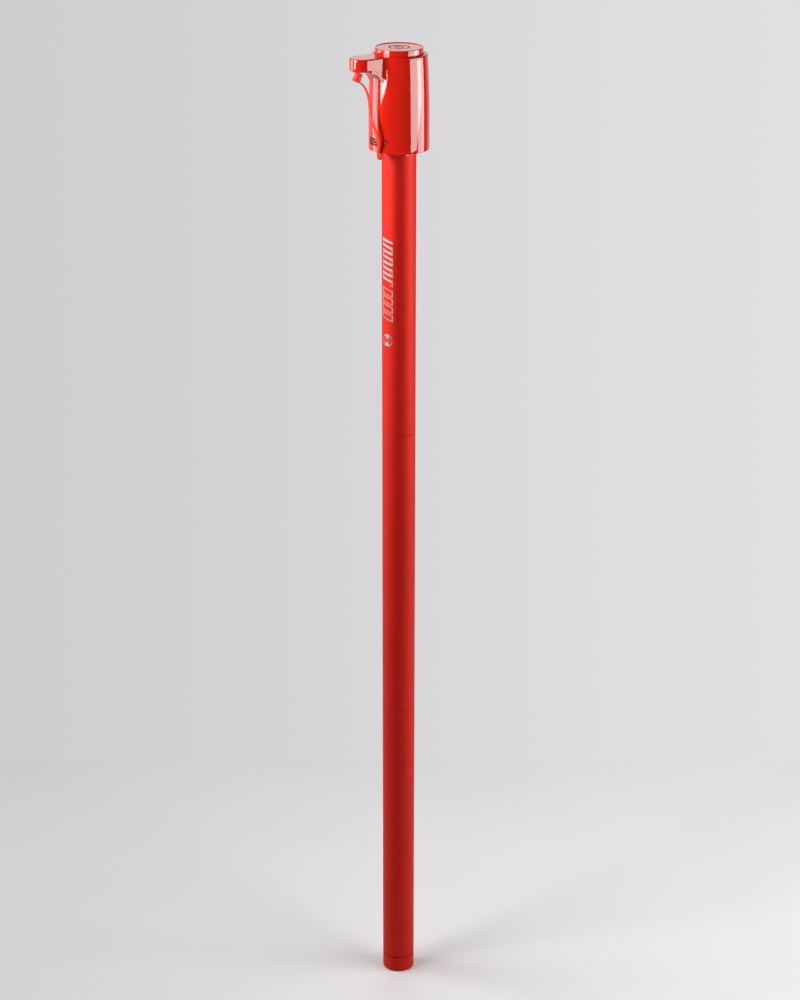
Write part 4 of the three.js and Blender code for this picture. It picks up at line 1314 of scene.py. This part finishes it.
def arc_band(middle, inner, outer, first, last, steps):
    turn = np.linspace(first, last, steps + 1)
    ray = np.column_stack([np.cos(turn), np.sin(turn)])
    return np.array([middle + ray * inner, middle + ray * outer])


def tube_marks():
    """A plain stepped line down the upper tube, solid above and in outline below, with a ring under it."""
    azimuth = radians(11.7)
    first_bar, first_box, ring_centre = 937, 882, 822.5
    left, right, slope = -7.6, 7.6, -0.25
    pitch, half, link = 6.3, 1.3, 2.6
    shapes = []
    for i in range(8):
        height = first_bar - i * pitch
        end = right - link if i % 2 else left
        shapes.append(bar(left, right, height - half, height + half, slope))
        shapes.append(bar(end, end + link, height - pitch, height, slope, 1))
    box_pitch, box_height, half, link = 9.4, 6.6, 0.4, 1.1
    for i in range(4):
        top = first_box - i * box_pitch
        for height in (top, top - box_height):
            shapes.append(bar(left, right, height - half, height + half, slope))
        for end in (left, right - link):
            shapes.append(bar(end, end + link, top - box_height, top, slope, 1))
    printed("stepped_mark", shapes, lambda height: TUBE_RADIUS, azimuth, SILVER_PRINT, "upper_section")
    centre = np.array([0, ring_centre])
    halves = [arc_band(centre, 2.4, 7, start, start + pi, 24) for start in (0, pi)]
    printed("ring_mark", halves, lambda height: TUBE_RADIUS, azimuth, SILVER_PRINT, "upper_section")


def head_marks():
    """Dark marks at the shell's lower edge: broken bars below the spout, and a turn arrow beside them."""
    bars = []
    for row, height in enumerate((1051.8, 1048.8, 1045.8)):
        for i in range(4):
            left = -8 + 4 * i - 0.6 * row
            right = left + (3.7 if (i + row) % 2 else 3.1)
            bars.append(bar(left, right, height - 1.25, height + 1.25, steps=3))
    printed("bar_marks", bars, shell_radius, radians(-1), DARK_PRINT, "head")
    middle = np.array([0, 1049.6])
    shaft = arc_band(middle, 2.1, 3.6, radians(20), radians(290), 20)
    head = np.array([[(0.9, 1052.2), (5.2, 1052.2)], [(3.05, 1049.2), (3.1, 1049.2)]])
    printed("turn_mark", [shaft, head], shell_radius, radians(29.5), DARK_PRINT, "head")


def badge_marks():
    """Two dark rings printed on the button's inlay."""
    top = BUTTON_TOP - BUTTON_DISH - BADGE_RECESS + 0.95
    for name, outer, inner in (("badge_edge_mark", 11.3, 10.2), ("badge_mark", 5.1, 4.3)):
        ring = band(inner, outer, top - PRINT_RELIEF, top + PRINT_RELIEF)
        piece(lathe(name, ring), DARK_PRINT, "button")


# ---- the scene

add_camera()
strap()
add_lights()
add_world()
add_floor()
scene.view_settings.view_transform = "Standard"

reservoir()
head_shell()
spout_cover()
base_ring()
nozzle()
stopper()
strap_anchor()
push_button()
button_badge()
pump_base()
screws()
bellows_plates()
bellows()
return_spring()
vent_valve()
dip_tube()
riser_elbow()
outlet_hose()
tube_marks()
head_marks()
badge_marks()
